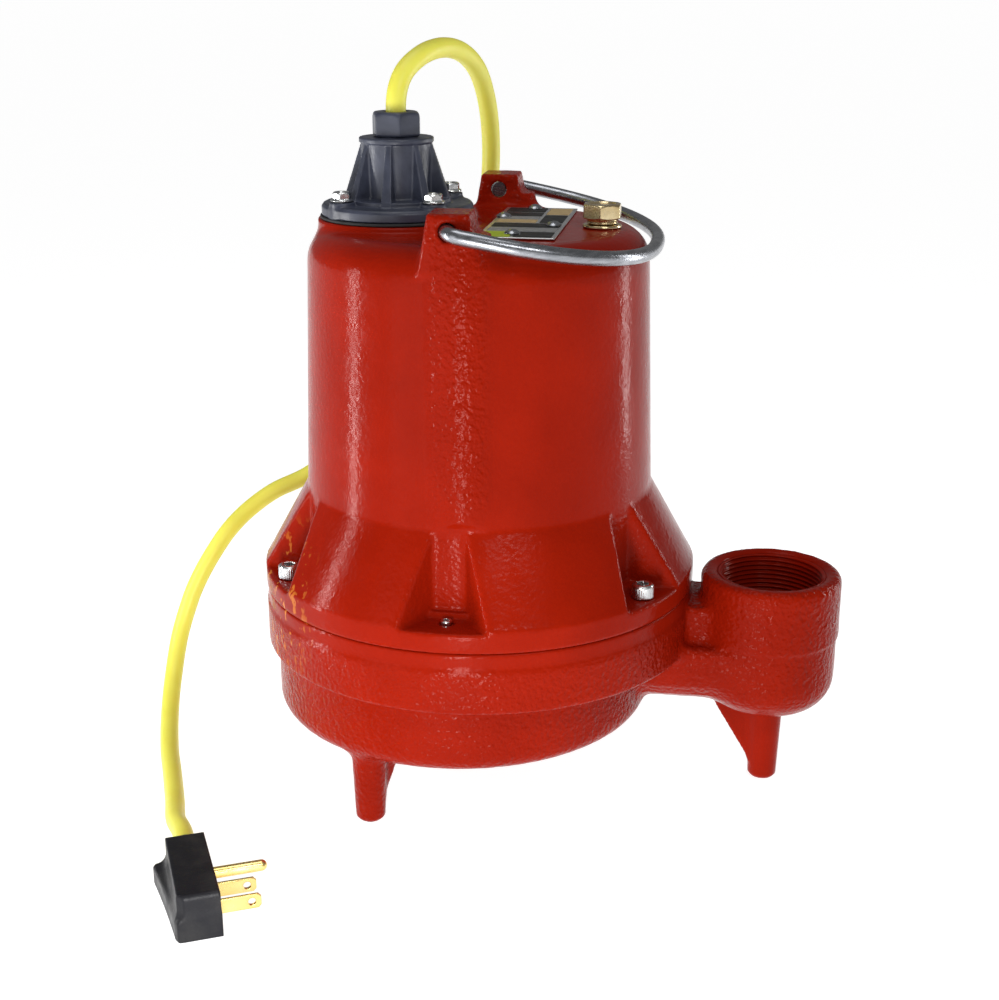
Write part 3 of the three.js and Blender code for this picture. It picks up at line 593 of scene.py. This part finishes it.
def centripetal(points, per_span=8):
    """The centripetal Catmull-Rom curve through points."""
    p = [np.array(q, float) for q in points]
    p = [2 * p[0] - p[1], *p, 2 * p[-1] - p[-2]]
    out = []
    for a, b, c, d in zip(p, p[1:], p[2:], p[3:]):
        t0 = 0.0
        t1 = t0 + np.linalg.norm(b - a) ** 0.5
        t2 = t1 + np.linalg.norm(c - b) ** 0.5
        t3 = t2 + np.linalg.norm(d - c) ** 0.5
        for t in np.linspace(t1, t2, per_span, endpoint=False):
            ab = (t1 - t) / (t1 - t0) * a + (t - t0) / (t1 - t0) * b
            bc = (t2 - t) / (t2 - t1) * b + (t - t1) / (t2 - t1) * c
            cd = (t3 - t) / (t3 - t2) * c + (t - t2) / (t3 - t2) * d
            abc = (t2 - t) / (t2 - t0) * ab + (t - t0) / (t2 - t0) * bc
            bcd = (t3 - t) / (t3 - t1) * bc + (t - t1) / (t3 - t1) * cd
            out.append((t2 - t) / (t2 - t1) * abc + (t - t1) / (t2 - t1) * bcd)
    return [*out, p[-2]]


def make_cord(plug_pieces):
    cord = swept("cord_jacket", centripetal(CORD_ROUTE), CORD_R, "yellow_jacket", "pump")
    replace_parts(cord, "power_cord")


# ---------------------------------------------------------------- plug
# The plug's own frame: x out along the pins, y towards the cord, z up, from its back corner on the pin face.

PLUG_CORNER = (-97.9, -125.8)
PLUG_YAW = math.radians(26.5)
PLUG_END, PLUG_HIGH, PLUG_END_HIGH, PLUG_BASE_HIGH = -49.0, 21.0, 20.5, 9.0
BLADE_YS = (-23.2, -35.9)
PLUG_CORD_X, PLUG_CORD_Z = -7.5, 10.6
PIN_Y, PIN_Z, BLADE_Z = -29.5, 17.5, 5.6
PIN_R, PIN_ROUND_X = 2.4, 19.1
BLADE_REACH, BLADE_WIDE, BLADE_THICK = 17.5, 6.4, 1.5


def plug_place(points):
    """From the plug's own frame to its place on the floor."""
    c, s = math.cos(PLUG_YAW), math.sin(PLUG_YAW)
    x, y, z = points.T
    return np.stack([PLUG_CORNER[0] + c * x - s * y, PLUG_CORNER[1] + s * x + c * y, z], 1)


def block(outline, high, edge, x, y, z):
    """An outline raised from the floor to high, all its edges rounded by edge."""
    side = polygon(outline, x, y) + edge
    level = np.abs(z - high / 2) - high / 2 + edge
    return np.minimum(np.maximum(side, level), 0) + np.hypot(np.maximum(side, 0), np.maximum(level, 0)) - edge


def plug_shape(x, y, z):
    """A narrow grip over a wider base. The grip's top rounds over its near end."""
    edge, near_r = 1.2, 3.0
    grip_outline = [(0, 0), (0, PLUG_END), (-14.5, PLUG_END), (-17.5, PLUG_END + 3), (-16.6, 0)]
    base_outline = [(0, 0), (0, PLUG_END), (-17.5, PLUG_END), (-22.5, -2), (-21.5, 0)]
    grip = block(grip_outline, PLUG_HIGH, edge, x, y, z)
    near = np.hypot(np.maximum(PLUG_END + near_r - y, 0), np.maximum(z - PLUG_END_HIGH + near_r, 0)) - near_r
    fall = (PLUG_HIGH - PLUG_END_HIGH) / PLUG_END
    grip = meet(meet(grip, z - PLUG_HIGH + fall * y, 1.5), near, 0.5)
    base = block(base_outline, PLUG_BASE_HIGH, edge, x, y, z)
    reach = np.hypot(x - PLUG_CORD_X, z - PLUG_CORD_Z)
    nose = np.maximum(reach - 6.6 + 0.12 * (y + 4), np.abs(y - 1.5) - 6.3)
    body = meet(join(grip, base, 5.0), np.maximum(x, PLUG_END - y), 0.8)
    body = join(body, nose, 3.0)
    return cut(body, np.maximum(reach - CORD_R - 0.1, 4 - y), 0.6)


def blade_shape(x, y, z):
    """A flat blade with clipped corners and a hole near its tip."""
    half = BLADE_WIDE / 2
    tip_x, clip = BLADE_REACH, half - 1.3
    outline = [(-5, -half), (16.3, -half), (tip_x, -clip), (tip_x, clip), (16.3, half), (-5, half)]
    hole = np.hypot(x - 13.6, z - BLADE_Z) - 1.6
    return cut(meet(polygon(outline, x, z - BLADE_Z), np.abs(y) - BLADE_THICK / 2, 0.25), hole, 0.2)


def ground_pin_shape(x, y, z):
    """A round pin with a domed tip."""
    reach = np.hypot(y - PIN_Y, z - PIN_Z)
    past = np.maximum(x - PIN_ROUND_X, 0)
    return np.maximum(np.hypot(reach, past) - PIN_R, -5 - x)


def make_plug():
    mesh = skin("plug_moulding", plug_shape, (-30, -52, -1), (2, 10, 23), 0.55, place=plug_place)
    body = new_object("plug_moulding", mesh, "black_vinyl", "pump")
    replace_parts(body, "plug_body")
    pieces = [body]
    for i, blade_y in enumerate(BLADE_YS):
        def moved(x, y, z, at=blade_y):
            return blade_shape(x, y - at, z)
        mesh = skin("blade", moved, (-6, blade_y - 1.5, 1), (18.5, blade_y + 1.5, 10), 0.3, place=plug_place)
        blade = new_object("plug_blade_new_%d" % (i + 1), mesh, "pin_brass", "pump")
        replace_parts(blade, "plug_blade_%d" % (i + 1))
        pieces.append(blade)
    low, high = (-6, PIN_Y - 3, PIN_Z - 3), (22, PIN_Y + 3, PIN_Z + 3)
    mesh = skin("pin", ground_pin_shape, low, high, 0.25, place=plug_place)
    pin = new_object("plug_pin_new", mesh, "pin_brass", "pump")
    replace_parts(pin, "plug_ground_pin")
    return [*pieces, pin]


# ---------------------------------------------------------------- volute casing


def casing_shape(x, y, z):
    """The upper ring over the offset drum, the duct and its neck, the discharge boss and the three legs."""
    ring_low, ring_high = arc(98.4, 70.8, 1.6, -90, 0, 3), [(99.45, 96.5), (99.1, CASING_TOP)]
    ring = solid(*ring_low, (100, 89.4), (99.45, 89.9), *ring_high)(x, y, z)
    drum = solid(*arc(CAVITY_R, CAVITY_FLOOR, 9, -90, 0), (88, 74), at=(CAVITY_X, 0))(x, y, z)
    body = join(ring, drum, 3.5)
    half = [(0, 42.5), (12, 44), (20, 48.5), (25, 55), (27, 62), (27, 72), (25, 74)]
    duct = polygon(half + [(-y0, z0) for y0, z0 in half[:0:-1]], y, z)
    body = join(body, np.maximum(duct, np.abs(x - 98) - 38), 5.0)
    body = join(body, brick(86, 130, -18.5, 18.5, 66, 91, 3.0)(x, y, z), 3.5)
    bowl, rim = arc(14, 56, 17, -80, 0), arc(28, 101, 4, 0, 90, 4)
    boss = solid((14, 39), *bowl, (31.2, 74.6), (32, 75.4), *rim, at=(DISCHARGE_X, 0))(x, y, z)
    body = join(body, boss, 4.0)
    for lx, ly in LEGS:
        body = join(body, leg_shape(lx, ly, x, y, z), 5.0)
    return cut(body, casing_hollow(x, y, z), 1.2)


def casing_hollow(x, y, z):
    """The volute, the seat of the bearing plate, the inlet, the duct and the threaded mouth."""
    mouth = solid((23.9, 78), (23.9, 102.6), (26.2, 105.4), (26.2, 110), at=(DISCHARGE_X, 0))
    parts = [
        cylinder(CAVITY_R, CAVITY_FLOOR, 120, (CAVITY_X, 0)), cylinder(84.3, 88, 120), cylinder(24, 20, 50),
        brick(30, DISCHARGE_X, -17, 17, 51, 70, 4.0), cylinder(21.5, 46.5, 90, (DISCHARGE_X, 0)), mouth,
    ]
    return union(*[part(x, y, z) for part in parts])


def leg_shape(lx, ly, x, y, z):
    """A round leg that widens upwards, with a gusset towards the axis."""
    pad = solid((5.2, 0.2), (6.7, 1.8), (8.3, 44), at=(lx, ly))(x, y, z)
    away = math.hypot(lx, ly)
    ux, uy = -lx / away, -ly / away
    inward = (x - lx) * ux + (y - ly) * uy
    side = np.abs((x - lx) * uy - (y - ly) * ux)
    web = polygon([(-2, 8), (6.6, 9), (23, 36), (25, 44), (-2, 44)], inward, z)
    return join(pad, meet(web, side - 3.3, 1.5), 2.5)


def casing_cast(x, y, z):
    """How rough the casting is, and how far its surface swells in mm."""
    r = np.hypot(x, y)
    machined = np.where(r < 100.4, np.clip((89.4 - z) / 2.5, 0, 1), 1.0)
    lip = np.clip((np.hypot(x - DISCHARGE_X, y) - 26.5) / 2.5, 0, 1)
    inner = (r < 99) & (z > CAVITY_FLOOR) & (np.hypot(x - CAVITY_X, y) < CAVITY_R + 1)
    rough = np.where(inner, 0.0, machined * lip * np.where(x > 100, 1.0, 0.85))
    return np.maximum(rough, 0.06), 0.07 * rough * lumps(x, y, z, 6.0, 3)


def make_casing():
    low, high = (-101, -101, -1), (170, 101, 106)
    mesh = skin("casing_skin", casing_shape, low, high, CASTING_STEP * COARSE, casing_cast)
    casing = new_object("casing_skin", mesh, "red_enamel", "pump")
    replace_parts(casing, "volute_casing")
    new_object("discharge_thread", thread_mesh(), "red_enamel", "pump")


def thread_mesh():
    """Pipe thread: the inside of a thin sleeve whose radius follows a helix."""
    pitch, around, per_turn = 2.209, 96, 8
    top, bottom = 104.0, 77.8
    crest_r, deep, sleeve_low_r, sleeve_high_r = 22.7, 1.2, 24.3, 24.6
    levels = np.arange(bottom, top, pitch / per_turn)
    theta = np.arange(around) / around
    rise = (levels[:, None] / pitch - theta[None, :]) % 1.0
    depth = np.clip(2.2 * np.abs(rise - 0.5) - 0.05, 0, 1)
    r = crest_r + deep * depth + 0.45 * np.clip((levels[:, None] - 101.5) / 3, 0, 1)
    level_r = np.ones(around)
    rows = [(sleeve_low_r * level_r, levels[0]), *zip(r, levels), (sleeve_high_r * level_r, levels[-1])]
    points = []
    for row, level in rows:
        for radius, t in zip(row, theta):
            a = 2 * math.pi * t
            x, y = DISCHARGE_X + radius * math.cos(a) + AXIS_X, radius * math.sin(a)
            points.append((x * MM, y * MM, level * MM))
    quads = []
    count = len(rows)
    for i in range(count):
        for j in range(around):
            k, n = (i + 1) % count, (j + 1) % around
            quads.append((i * around + j, k * around + j, k * around + n, i * around + n))
    mesh = bpy.data.meshes.new("discharge_thread")
    mesh.from_pydata(points, [], quads)
    mesh.shade_smooth()
    return mesh


# ---------------------------------------------------------------- motor housing


def pocket_shape(x, y, z, degrees):
    """A wedge that opens outwards from a narrow back wall, with upright sides."""
    a = math.radians(degrees)
    across = x * math.cos(a) + y * math.sin(a)
    out = x * math.sin(a) - y * math.cos(a)
    side = (np.abs(across) - 7.2 - 0.65 * (out - BODY_LOW)) * 0.84
    return np.maximum(meet(side, POCKET_FLOOR - z, 2.0), 60 - out)


def ear_shape(x, y, z):
    """The two handle ears, one at each side, with their edges rounded."""
    edge = 2.0
    face = polygon([(-13, 250), (14, 250), (8.6, 275.2), (-8.3, 275.2)], x, z) + edge
    depth = np.maximum(59 - np.abs(y), np.hypot(x, y) - 75.4)
    return np.hypot(np.maximum(face, 0), np.maximum(depth, 0)) + np.minimum(np.maximum(face, depth), 0) - edge


def rib_shape(x, y, z):
    """The thick band under each ear, which fades into the wall lower down."""
    fade = np.clip((262 - z) / 110, 0, 1)
    wide = 11.5 - 1.5 * fade
    face = 78.2 + 1.0 * fade
    round_r = 11.0
    bulge = np.hypot((x - 4.5) / wide * round_r, np.abs(y) - (face - round_r)) - round_r
    return np.maximum(bulge, np.maximum(z - 266, 150 - z))


def housing_shape(x, y, z):
    """The skirt with its pockets, the tapered wall, the pad, the ribs and the ears."""
    foot, brow = arc(99.3, 98, 0.7, -90, 0, 3), arc(99.2, 107, 0.8, 0, 60, 3)
    skirt = solid((99.1, HOUSING_FOOT), *foot, *brow, (98.6, 109.3), (80.2, 142.2), (77, 145))(x, y, z)
    for angle in POCKET_ANGLES:
        skirt = cut(skirt, pocket_shape(x, y, z, angle), 1.6)
    shoulder_r = 14
    shoulder = arc(BODY_TOP - shoulder_r, 246, shoulder_r, 0, 90)
    wall = solid((BODY_LOW, 99), (BODY_LOW, 143.5), (BODY_TOP, 246), *shoulder)(x, y, z)
    ledge = cylinder(82.6, HOUSING_FOOT, 108.4)(x, y, z)
    body = join(join(skirt, wall, 1.6), ledge, 1.0)
    body = join(body, cylinder(PAD_R, 240, PAD_TOP, (PAD_X, 0))(x, y, z), 3.5)
    body = join(body, rib_shape(x, y, z), 9.0)
    body = join(body, ear_shape(x, y, z), 2.5)
    body = cut(body, np.maximum(np.hypot(x, z - PIVOT_Z) - 3.75, 50 - np.abs(y)), 0.9)
    holes = [cylinder(71, 80, 250), cylinder(20, 248, 270, (PAD_X, 0))]
    for angle in POCKET_ANGLES:
        r = BOLT_R if angle % 120 == 60 else SET_SCREW_R
        holes.append(cylinder(3.0, 90, 108, on_circle(r, angle)))
    return cut(body, union(*[hole(x, y, z) for hole in holes]), 0.6)


def housing_cast(x, y, z):
    """How rough the casting is, and how far its surface swells in mm: most on the ribs and ears."""
    beside = np.clip((14.5 - np.abs(x - 4.0)) / 5, 0, 1) * np.clip((np.abs(y) - 60) / 10, 0, 1)
    band = beside * np.clip((z - 146) / 12, 0, 1)
    ears = np.clip((z - 261) / 3, 0, 1) * np.clip((np.abs(y) - 54) / 3, 0, 1)
    pocket_wall = union(*[pocket_shape(x, y, z, angle) for angle in POCKET_ANGLES]) < 0.8
    in_pocket = 0.3 * (pocket_wall & (z < 140))
    rough = np.maximum(np.maximum(band, ears) * 0.85, np.maximum(in_pocket, 0.05))
    return rough, 0.07 * rough * lumps(x, y, z, 5.0, 5)


def make_housing():
    low, high = (-101, -101, 96), (101, 101, 279)
    mesh = skin("housing_skin", housing_shape, low, high, CASTING_STEP * COARSE, housing_cast)
    housing = new_object("housing_skin", mesh, "red_enamel", "pump")
    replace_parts(housing, "motor_housing")


# ---------------------------------------------------------------- cord entry


def plate_spots():
    """The four screws of the cord plate."""
    at = PLATE_SCREW_R * math.sqrt(0.5)
    return [(PAD_X - at, -at), (PAD_X + at, -at), (PAD_X + at, at), (PAD_X - at, at)]


def plate_shape(x, y, z):
    """A round plate with four screw bosses, and a ribbed core that carries the collar."""
    x = x - PAD_X
    r = np.hypot(x, y)
    under = 264.6
    body = solid((33.6, under), (33.6, 268.2), (32.6, 269.5))(x, y, z)
    for sx, sy in plate_spots():
        body = join(body, cylinder(5.4, under, 271.4, (sx - PAD_X, sy))(x, y, z), 1.5)
    body = join(body, cylinder(23.6, 266, 271.6)(x, y, z), 1.0)
    body = join(body, cylinder(15.4, 270, 296)(x, y, z), 1.0)
    body = join(body, plate_rib_shape(x, y, z), 0.8)
    collar = solid((16.0, 295.3), (16.4, 295.7), (16.4, 297.3), (16.0, 297.7))(x, y, z)
    body = join(body, collar, 0.4)
    hollow = np.minimum(r - 5.2, cylinder(9.4, 278, 310)(x, y, z))
    for sx, sy in plate_spots():
        hollow = np.minimum(hollow, cylinder(2.4, 260, 280, (sx - PAD_X, sy))(x, y, z))
    return cut(body, hollow, 0.3)


def plate_rib_shape(x, y, z):
    """Eight ribs that lean in and thin out towards the collar."""
    r = np.hypot(x, y)
    foot_z, high, foot_r, top_r = 271.6, 22.4, 23.5, 16.1
    sector = 2 * math.pi / 8
    turn = (np.arctan2(y, x) + sector / 2) % sector - sector / 2
    along, across = r * np.cos(turn), np.abs(r * np.sin(turn))
    rise = (z - foot_z) / high
    edge = (along - (foot_r * (1 - rise) + top_r * rise)) * 0.97
    return np.maximum(np.maximum(edge, across - (2.2 - 0.9 * rise)), np.abs(z - 282.5) - 13.0)


def nut_shape(x, y, z):
    """A hexagon with a rounded top, its spigot below and the cord's bore."""
    x = x - PAD_X
    c, s = math.cos(NUT_TURN), math.sin(NUT_TURN)
    side = hexagon(c * x + s * y, c * y - s * x, 19.5)
    top = solid((12, 298), (12, 304.8), *arc(8.6, 305.1, 3.4, 0, 90, 5))(x, y, z)
    body = meet(side, top, 1.2)
    body = np.minimum(body, cylinder(9.0, 285.4, 299)(x, y, z))
    bore = solid((4.75, 280), (4.75, 307.2), (6.2, 308.8))(x, y, z)
    return cut(body, bore, 0.4)


def gasket_shape(x, y, z):
    """A thin ring with a screw hole at each of the plate's screws."""
    profile = [(18, 263.1), (34.2, 263.1), (34.4, 263.7), (34.2, 264.3), (18, 264.3)]
    body = turned(profile, (PAD_X, 0))(x, y, z)
    for spot in plate_spots():
        body = np.maximum(body, -cylinder(2.6, 260, 270, spot)(x, y, z))
    return body


def make_gland():
    mesh = skin("gland_plate", plate_shape, (PAD_X - 35, -35, 264), (PAD_X + 35, 35, 298), 0.5 * COARSE)
    plate = new_object("gland_plate", mesh, "black_nylon", "pump")
    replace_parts(plate, "cord_entry_plate")
    mesh = skin("gland_nut", nut_shape, (PAD_X - 13, -13, 285), (PAD_X + 13, 13, 309), 0.4)
    nut = new_object("gland_nut", mesh, "black_nylon", "pump")
    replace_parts(nut, "compression_nut")
    mesh = skin("gland_gasket", gasket_shape, (PAD_X - 35, -35, 262.8), (PAD_X + 35, 35, 264.6), 0.45)
    gasket = new_object("gland_gasket", mesh, "black_rubber", "pump")
    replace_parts(gasket, "cord_plate_gasket")


# ---------------------------------------------------------------- screws and plugs


def repeated(mesh_name, shape, half, levels, step, spots, piece, node, look):
    """One mesh, at most half mm from the motor axis and between two levels, copied to every spot."""
    first = skin(mesh_name, shape, (-half, -half, levels[0]), (half, half, levels[1]), step)
    for i, (x, y) in enumerate(spots):
        mesh = first.copy()
        mesh.transform(shift(x, y))
        made = new_object("%s_%d" % (piece, i + 1), mesh, look, "pump")
        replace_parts(made, "%s_%d" % (node, i + 1))


def shift(x, y):
    """A move from the motor axis to (x, y)."""
    return Matrix.Translation((x * MM, y * MM, 0.0))


def plate_screw_shape(x, y, z):
    """A hexagon head with a dished top, on a washer and its shank."""
    top = solid((4.4, 272.6), (4.4, 275.0), (3.4, 275.9))(x, y, z)
    head = meet(hexagon(x, y, 7.4), top, 0.3)
    profile = [(PAST_AXIS, 271.9), (4.9, 271.9), (5.0, 272.3), (4.6, 272.8), (PAST_AXIS, 273.0)]
    body = join(head, turned(profile)(x, y, z), 0.4)
    body = np.minimum(body, cylinder(2.1, 255.8, 273)(x, y, z))
    return cut(body, cylinder(2.3, 275.2, 280)(x, y, z), 0.5)


def bolt_shape(x, y, z):
    """A knurled cap screw with a domed edge and a hexagon socket."""
    low, top, round_r = POCKET_FLOOR + 0.3, POCKET_FLOOR + 6.6, 1.1
    head = solid((4.6, low), (4.8, low + 0.3), *arc(3.7, top - round_r, round_r, 0, 90, 4))(x, y, z)
    teeth = 0.12 * np.cos(30 * np.arctan2(y, x)) * (np.hypot(x, y) > 3.5) * (z < top - 1.2)
    body = np.minimum(head + teeth, cylinder(2.9, 96, POCKET_FLOOR + 1)(x, y, z))
    socket = np.maximum(hexagon(x, y, 5.0), top - 3.2 - z)
    return cut(body, socket, 0.3)


def set_screw_shape(x, y, z):
    """A headless screw whose socket end shows in the pocket's floor."""
    top = POCKET_FLOOR + 1.3
    body = solid((2.4, 99.4), (2.4, top - 0.4), (2.0, top))(x, y, z)
    return cut(body, np.maximum(hexagon(x, y, 2.5), top - 1.6 - z), 0.2)


def oil_plug_shape(x, y, z):
    """A hexagon head with a recessed top, over a grooved neck and its thread."""
    head_side = [(7.9, 264.0), (9.2, 264.6), (9.2, 269.6), (8.0, 270.5), (6.4, 270.5), (6.0, 269.9)]
    neck_side = [(6.5, 261.9), (6.9, 262.4), (6.4, 262.9), (6.9, 263.4), (6.6, 264.4)]
    head = meet(hexagon(x, y, 15.8), solid(*head_side)(x, y, z), 0.4)
    body = join(head, solid(*neck_side)(x, y, z), 0.3)
    return np.minimum(body, cylinder(5.6, 252, 263)(x, y, z))


def washer_shape(x, y, z):
    """A flat ring with a rounded rim."""
    return turned([(5.9, 260.2), (8.3, 260.2), (8.6, 260.6), (8.3, 261.6), (5.9, 261.6)])(x, y, z)


def drive_pin_shape(x, y, z):
    """A low dome on a short shank."""
    head = np.maximum(np.sqrt(x * x + y * y + (z - 258.9) ** 2) - 4.4, 261.35 - z)
    return np.minimum(head, cylinder(1.3, 256.5, 262)(x, y, z))


def make_hardware():
    zinc = "zinc_plated"
    bolts = [on_circle(BOLT_R, angle) for angle in BOLT_ANGLES]
    repeated("casing_bolt", bolt_shape, 6, (96, 113), 0.3, bolts, "cap_screw", "casing_bolt", zinc)
    set_screws = [on_circle(SET_SCREW_R, angle) for angle in SET_SCREW_ANGLES]
    repeated("set_screw", set_screw_shape, 3, (99, 108), 0.25, set_screws, "grub_screw", "set_screw", zinc)
    repeated("plate_screw", plate_screw_shape, 6, (255, 277), 0.3, plate_spots(),
             "gland_screw", "cord_plate_screw", zinc)
    pins = [(19.5, -31), (8.6, 18), (19, 46), (34, -6)]
    repeated("drive_pin", drive_pin_shape, 4, (256, 264), 0.25, pins,
             "drive_pin", "nameplate_pin", "stainless")
    plug_mesh = skin("filler_plug", oil_plug_shape, (-10, -10, 251), (10, 10, 271), 0.35)
    plug_mesh.transform(shift(*OIL_PLUG))
    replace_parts(new_object("filler_plug", plug_mesh, "brass", "pump"), "oil_fill_plug")
    washer_mesh = skin("filler_washer", washer_shape, (-9, -9, 259.6), (9, 9, 262), 0.3)
    washer_mesh.transform(shift(*OIL_PLUG))
    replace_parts(new_object("filler_washer", washer_mesh, "brass", "pump"), "oil_plug_washer")


# ---------------------------------------------------------------- handle

BAIL_TILT = math.radians(10.6)
BAIL_R = 3.15
BAIL_HALF, BAIL_REACH = 82.5, 80.1
BAIL_END, BAIL_BEND = 59.0, 6.5  # where the rod stops in the ear, and the radius of its bend
BAIL_SQUARE = 2.4  # 2 makes the far run half an ellipse, and more makes it squarer


def bail_points():
    """The centreline of the bail in its own tilted plane, from one ear hole round to the other."""
    power = 2 / BAIL_SQUARE
    flat = [(0, BAIL_END), *arc(BAIL_BEND, BAIL_HALF - BAIL_BEND, BAIL_BEND, 180, 90, 12)]
    for a in np.radians(np.linspace(1, 90, 60)):
        away = BAIL_BEND + (BAIL_REACH - BAIL_BEND) * math.sin(a) ** power
        flat.append((away, BAIL_HALF * abs(math.cos(a)) ** power))
    flat += [(s, -y) for s, y in flat[-2::-1]]
    return [(s * math.cos(BAIL_TILT), y, PIVOT_Z - s * math.sin(BAIL_TILT)) for s, y in flat]


def make_handle():
    bail = swept("bail_rod", bail_points(), BAIL_R, "stainless", "handle", 8)
    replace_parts(bail, "handle_bail")


# ---------------------------------------------------------------- nameplate


NAMEPLATE_X = (5.2, 38.6)
NAMEPLATE_Y = (-40.5, 50.5)
NAMEPLATE_Z = (260.25, 261.05)
PANELS = [  # look, then its start and end across and along the plate, as shares of it
    ("print_lime", 0.06, 0.42, 0.02, 0.17), ("print_black", 0.46, 0.95, 0.02, 0.17),
    ("print_grey", 0.06, 0.95, 0.20, 0.29), ("print_black", 0.06, 0.95, 0.32, 0.44),
    ("print_tan", 0.06, 0.60, 0.47, 0.56), ("print_black", 0.64, 0.95, 0.47, 0.72),
    ("print_grey", 0.06, 0.60, 0.59, 0.66), ("print_black", 0.06, 0.60, 0.69, 0.80),
    ("print_tan", 0.64, 0.95, 0.75, 0.96), ("print_black", 0.06, 0.60, 0.83, 0.97),
]


def panel(name, x0, x1, y0, y1, z0, z1, look, edge):
    """A flat piece of the nameplate with its edges rounded."""
    room = 0.5
    low, high = (x0 - room, y0 - room, z0 - room), (x1 + room, y1 + room, z1 + room)
    mesh = skin(name, brick(x0, x1, y0, y1, z0, z1, edge), low, high, 0.35)
    return new_object(name, mesh, look, "pump")


def make_nameplate():
    (x0, x1), (y0, y1), (z0, z1) = NAMEPLATE_X, NAMEPLATE_Y, NAMEPLATE_Z
    plate = panel("plate_blank", x0, x1, y0, y1, z0, z1, "bare_aluminium", 0.3)
    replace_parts(plate, "nameplate")
    sunk, proud = 0.2, 0.25
    across, along = x1 - x0, y1 - y0
    for i, (look, u0, u1, v0, v1) in enumerate(PANELS):
        panel("print_%d" % (i + 1), x0 + u0 * across, x0 + u1 * across, y0 + v0 * along, y0 + v1 * along,
              z1 - sunk, z1 + proud, look, 0.05)


# ---------------------------------------------------------------- the rest of the frame


def dress_frame():
    """Every CAD node that still shows gets the material of its slot."""
    for part in frame["record"]["subparts"]:
        node = frame["nodes"][part["node"]]
        node.data.materials.clear()
        node.data.materials.append(looks[part["material_slot"]])


looks = make_looks()
make_camera()
dress_frame()
make_cord(make_plug())
make_studio()
make_casing()
make_housing()
make_gland()
make_hardware()
make_handle()
make_nameplate()
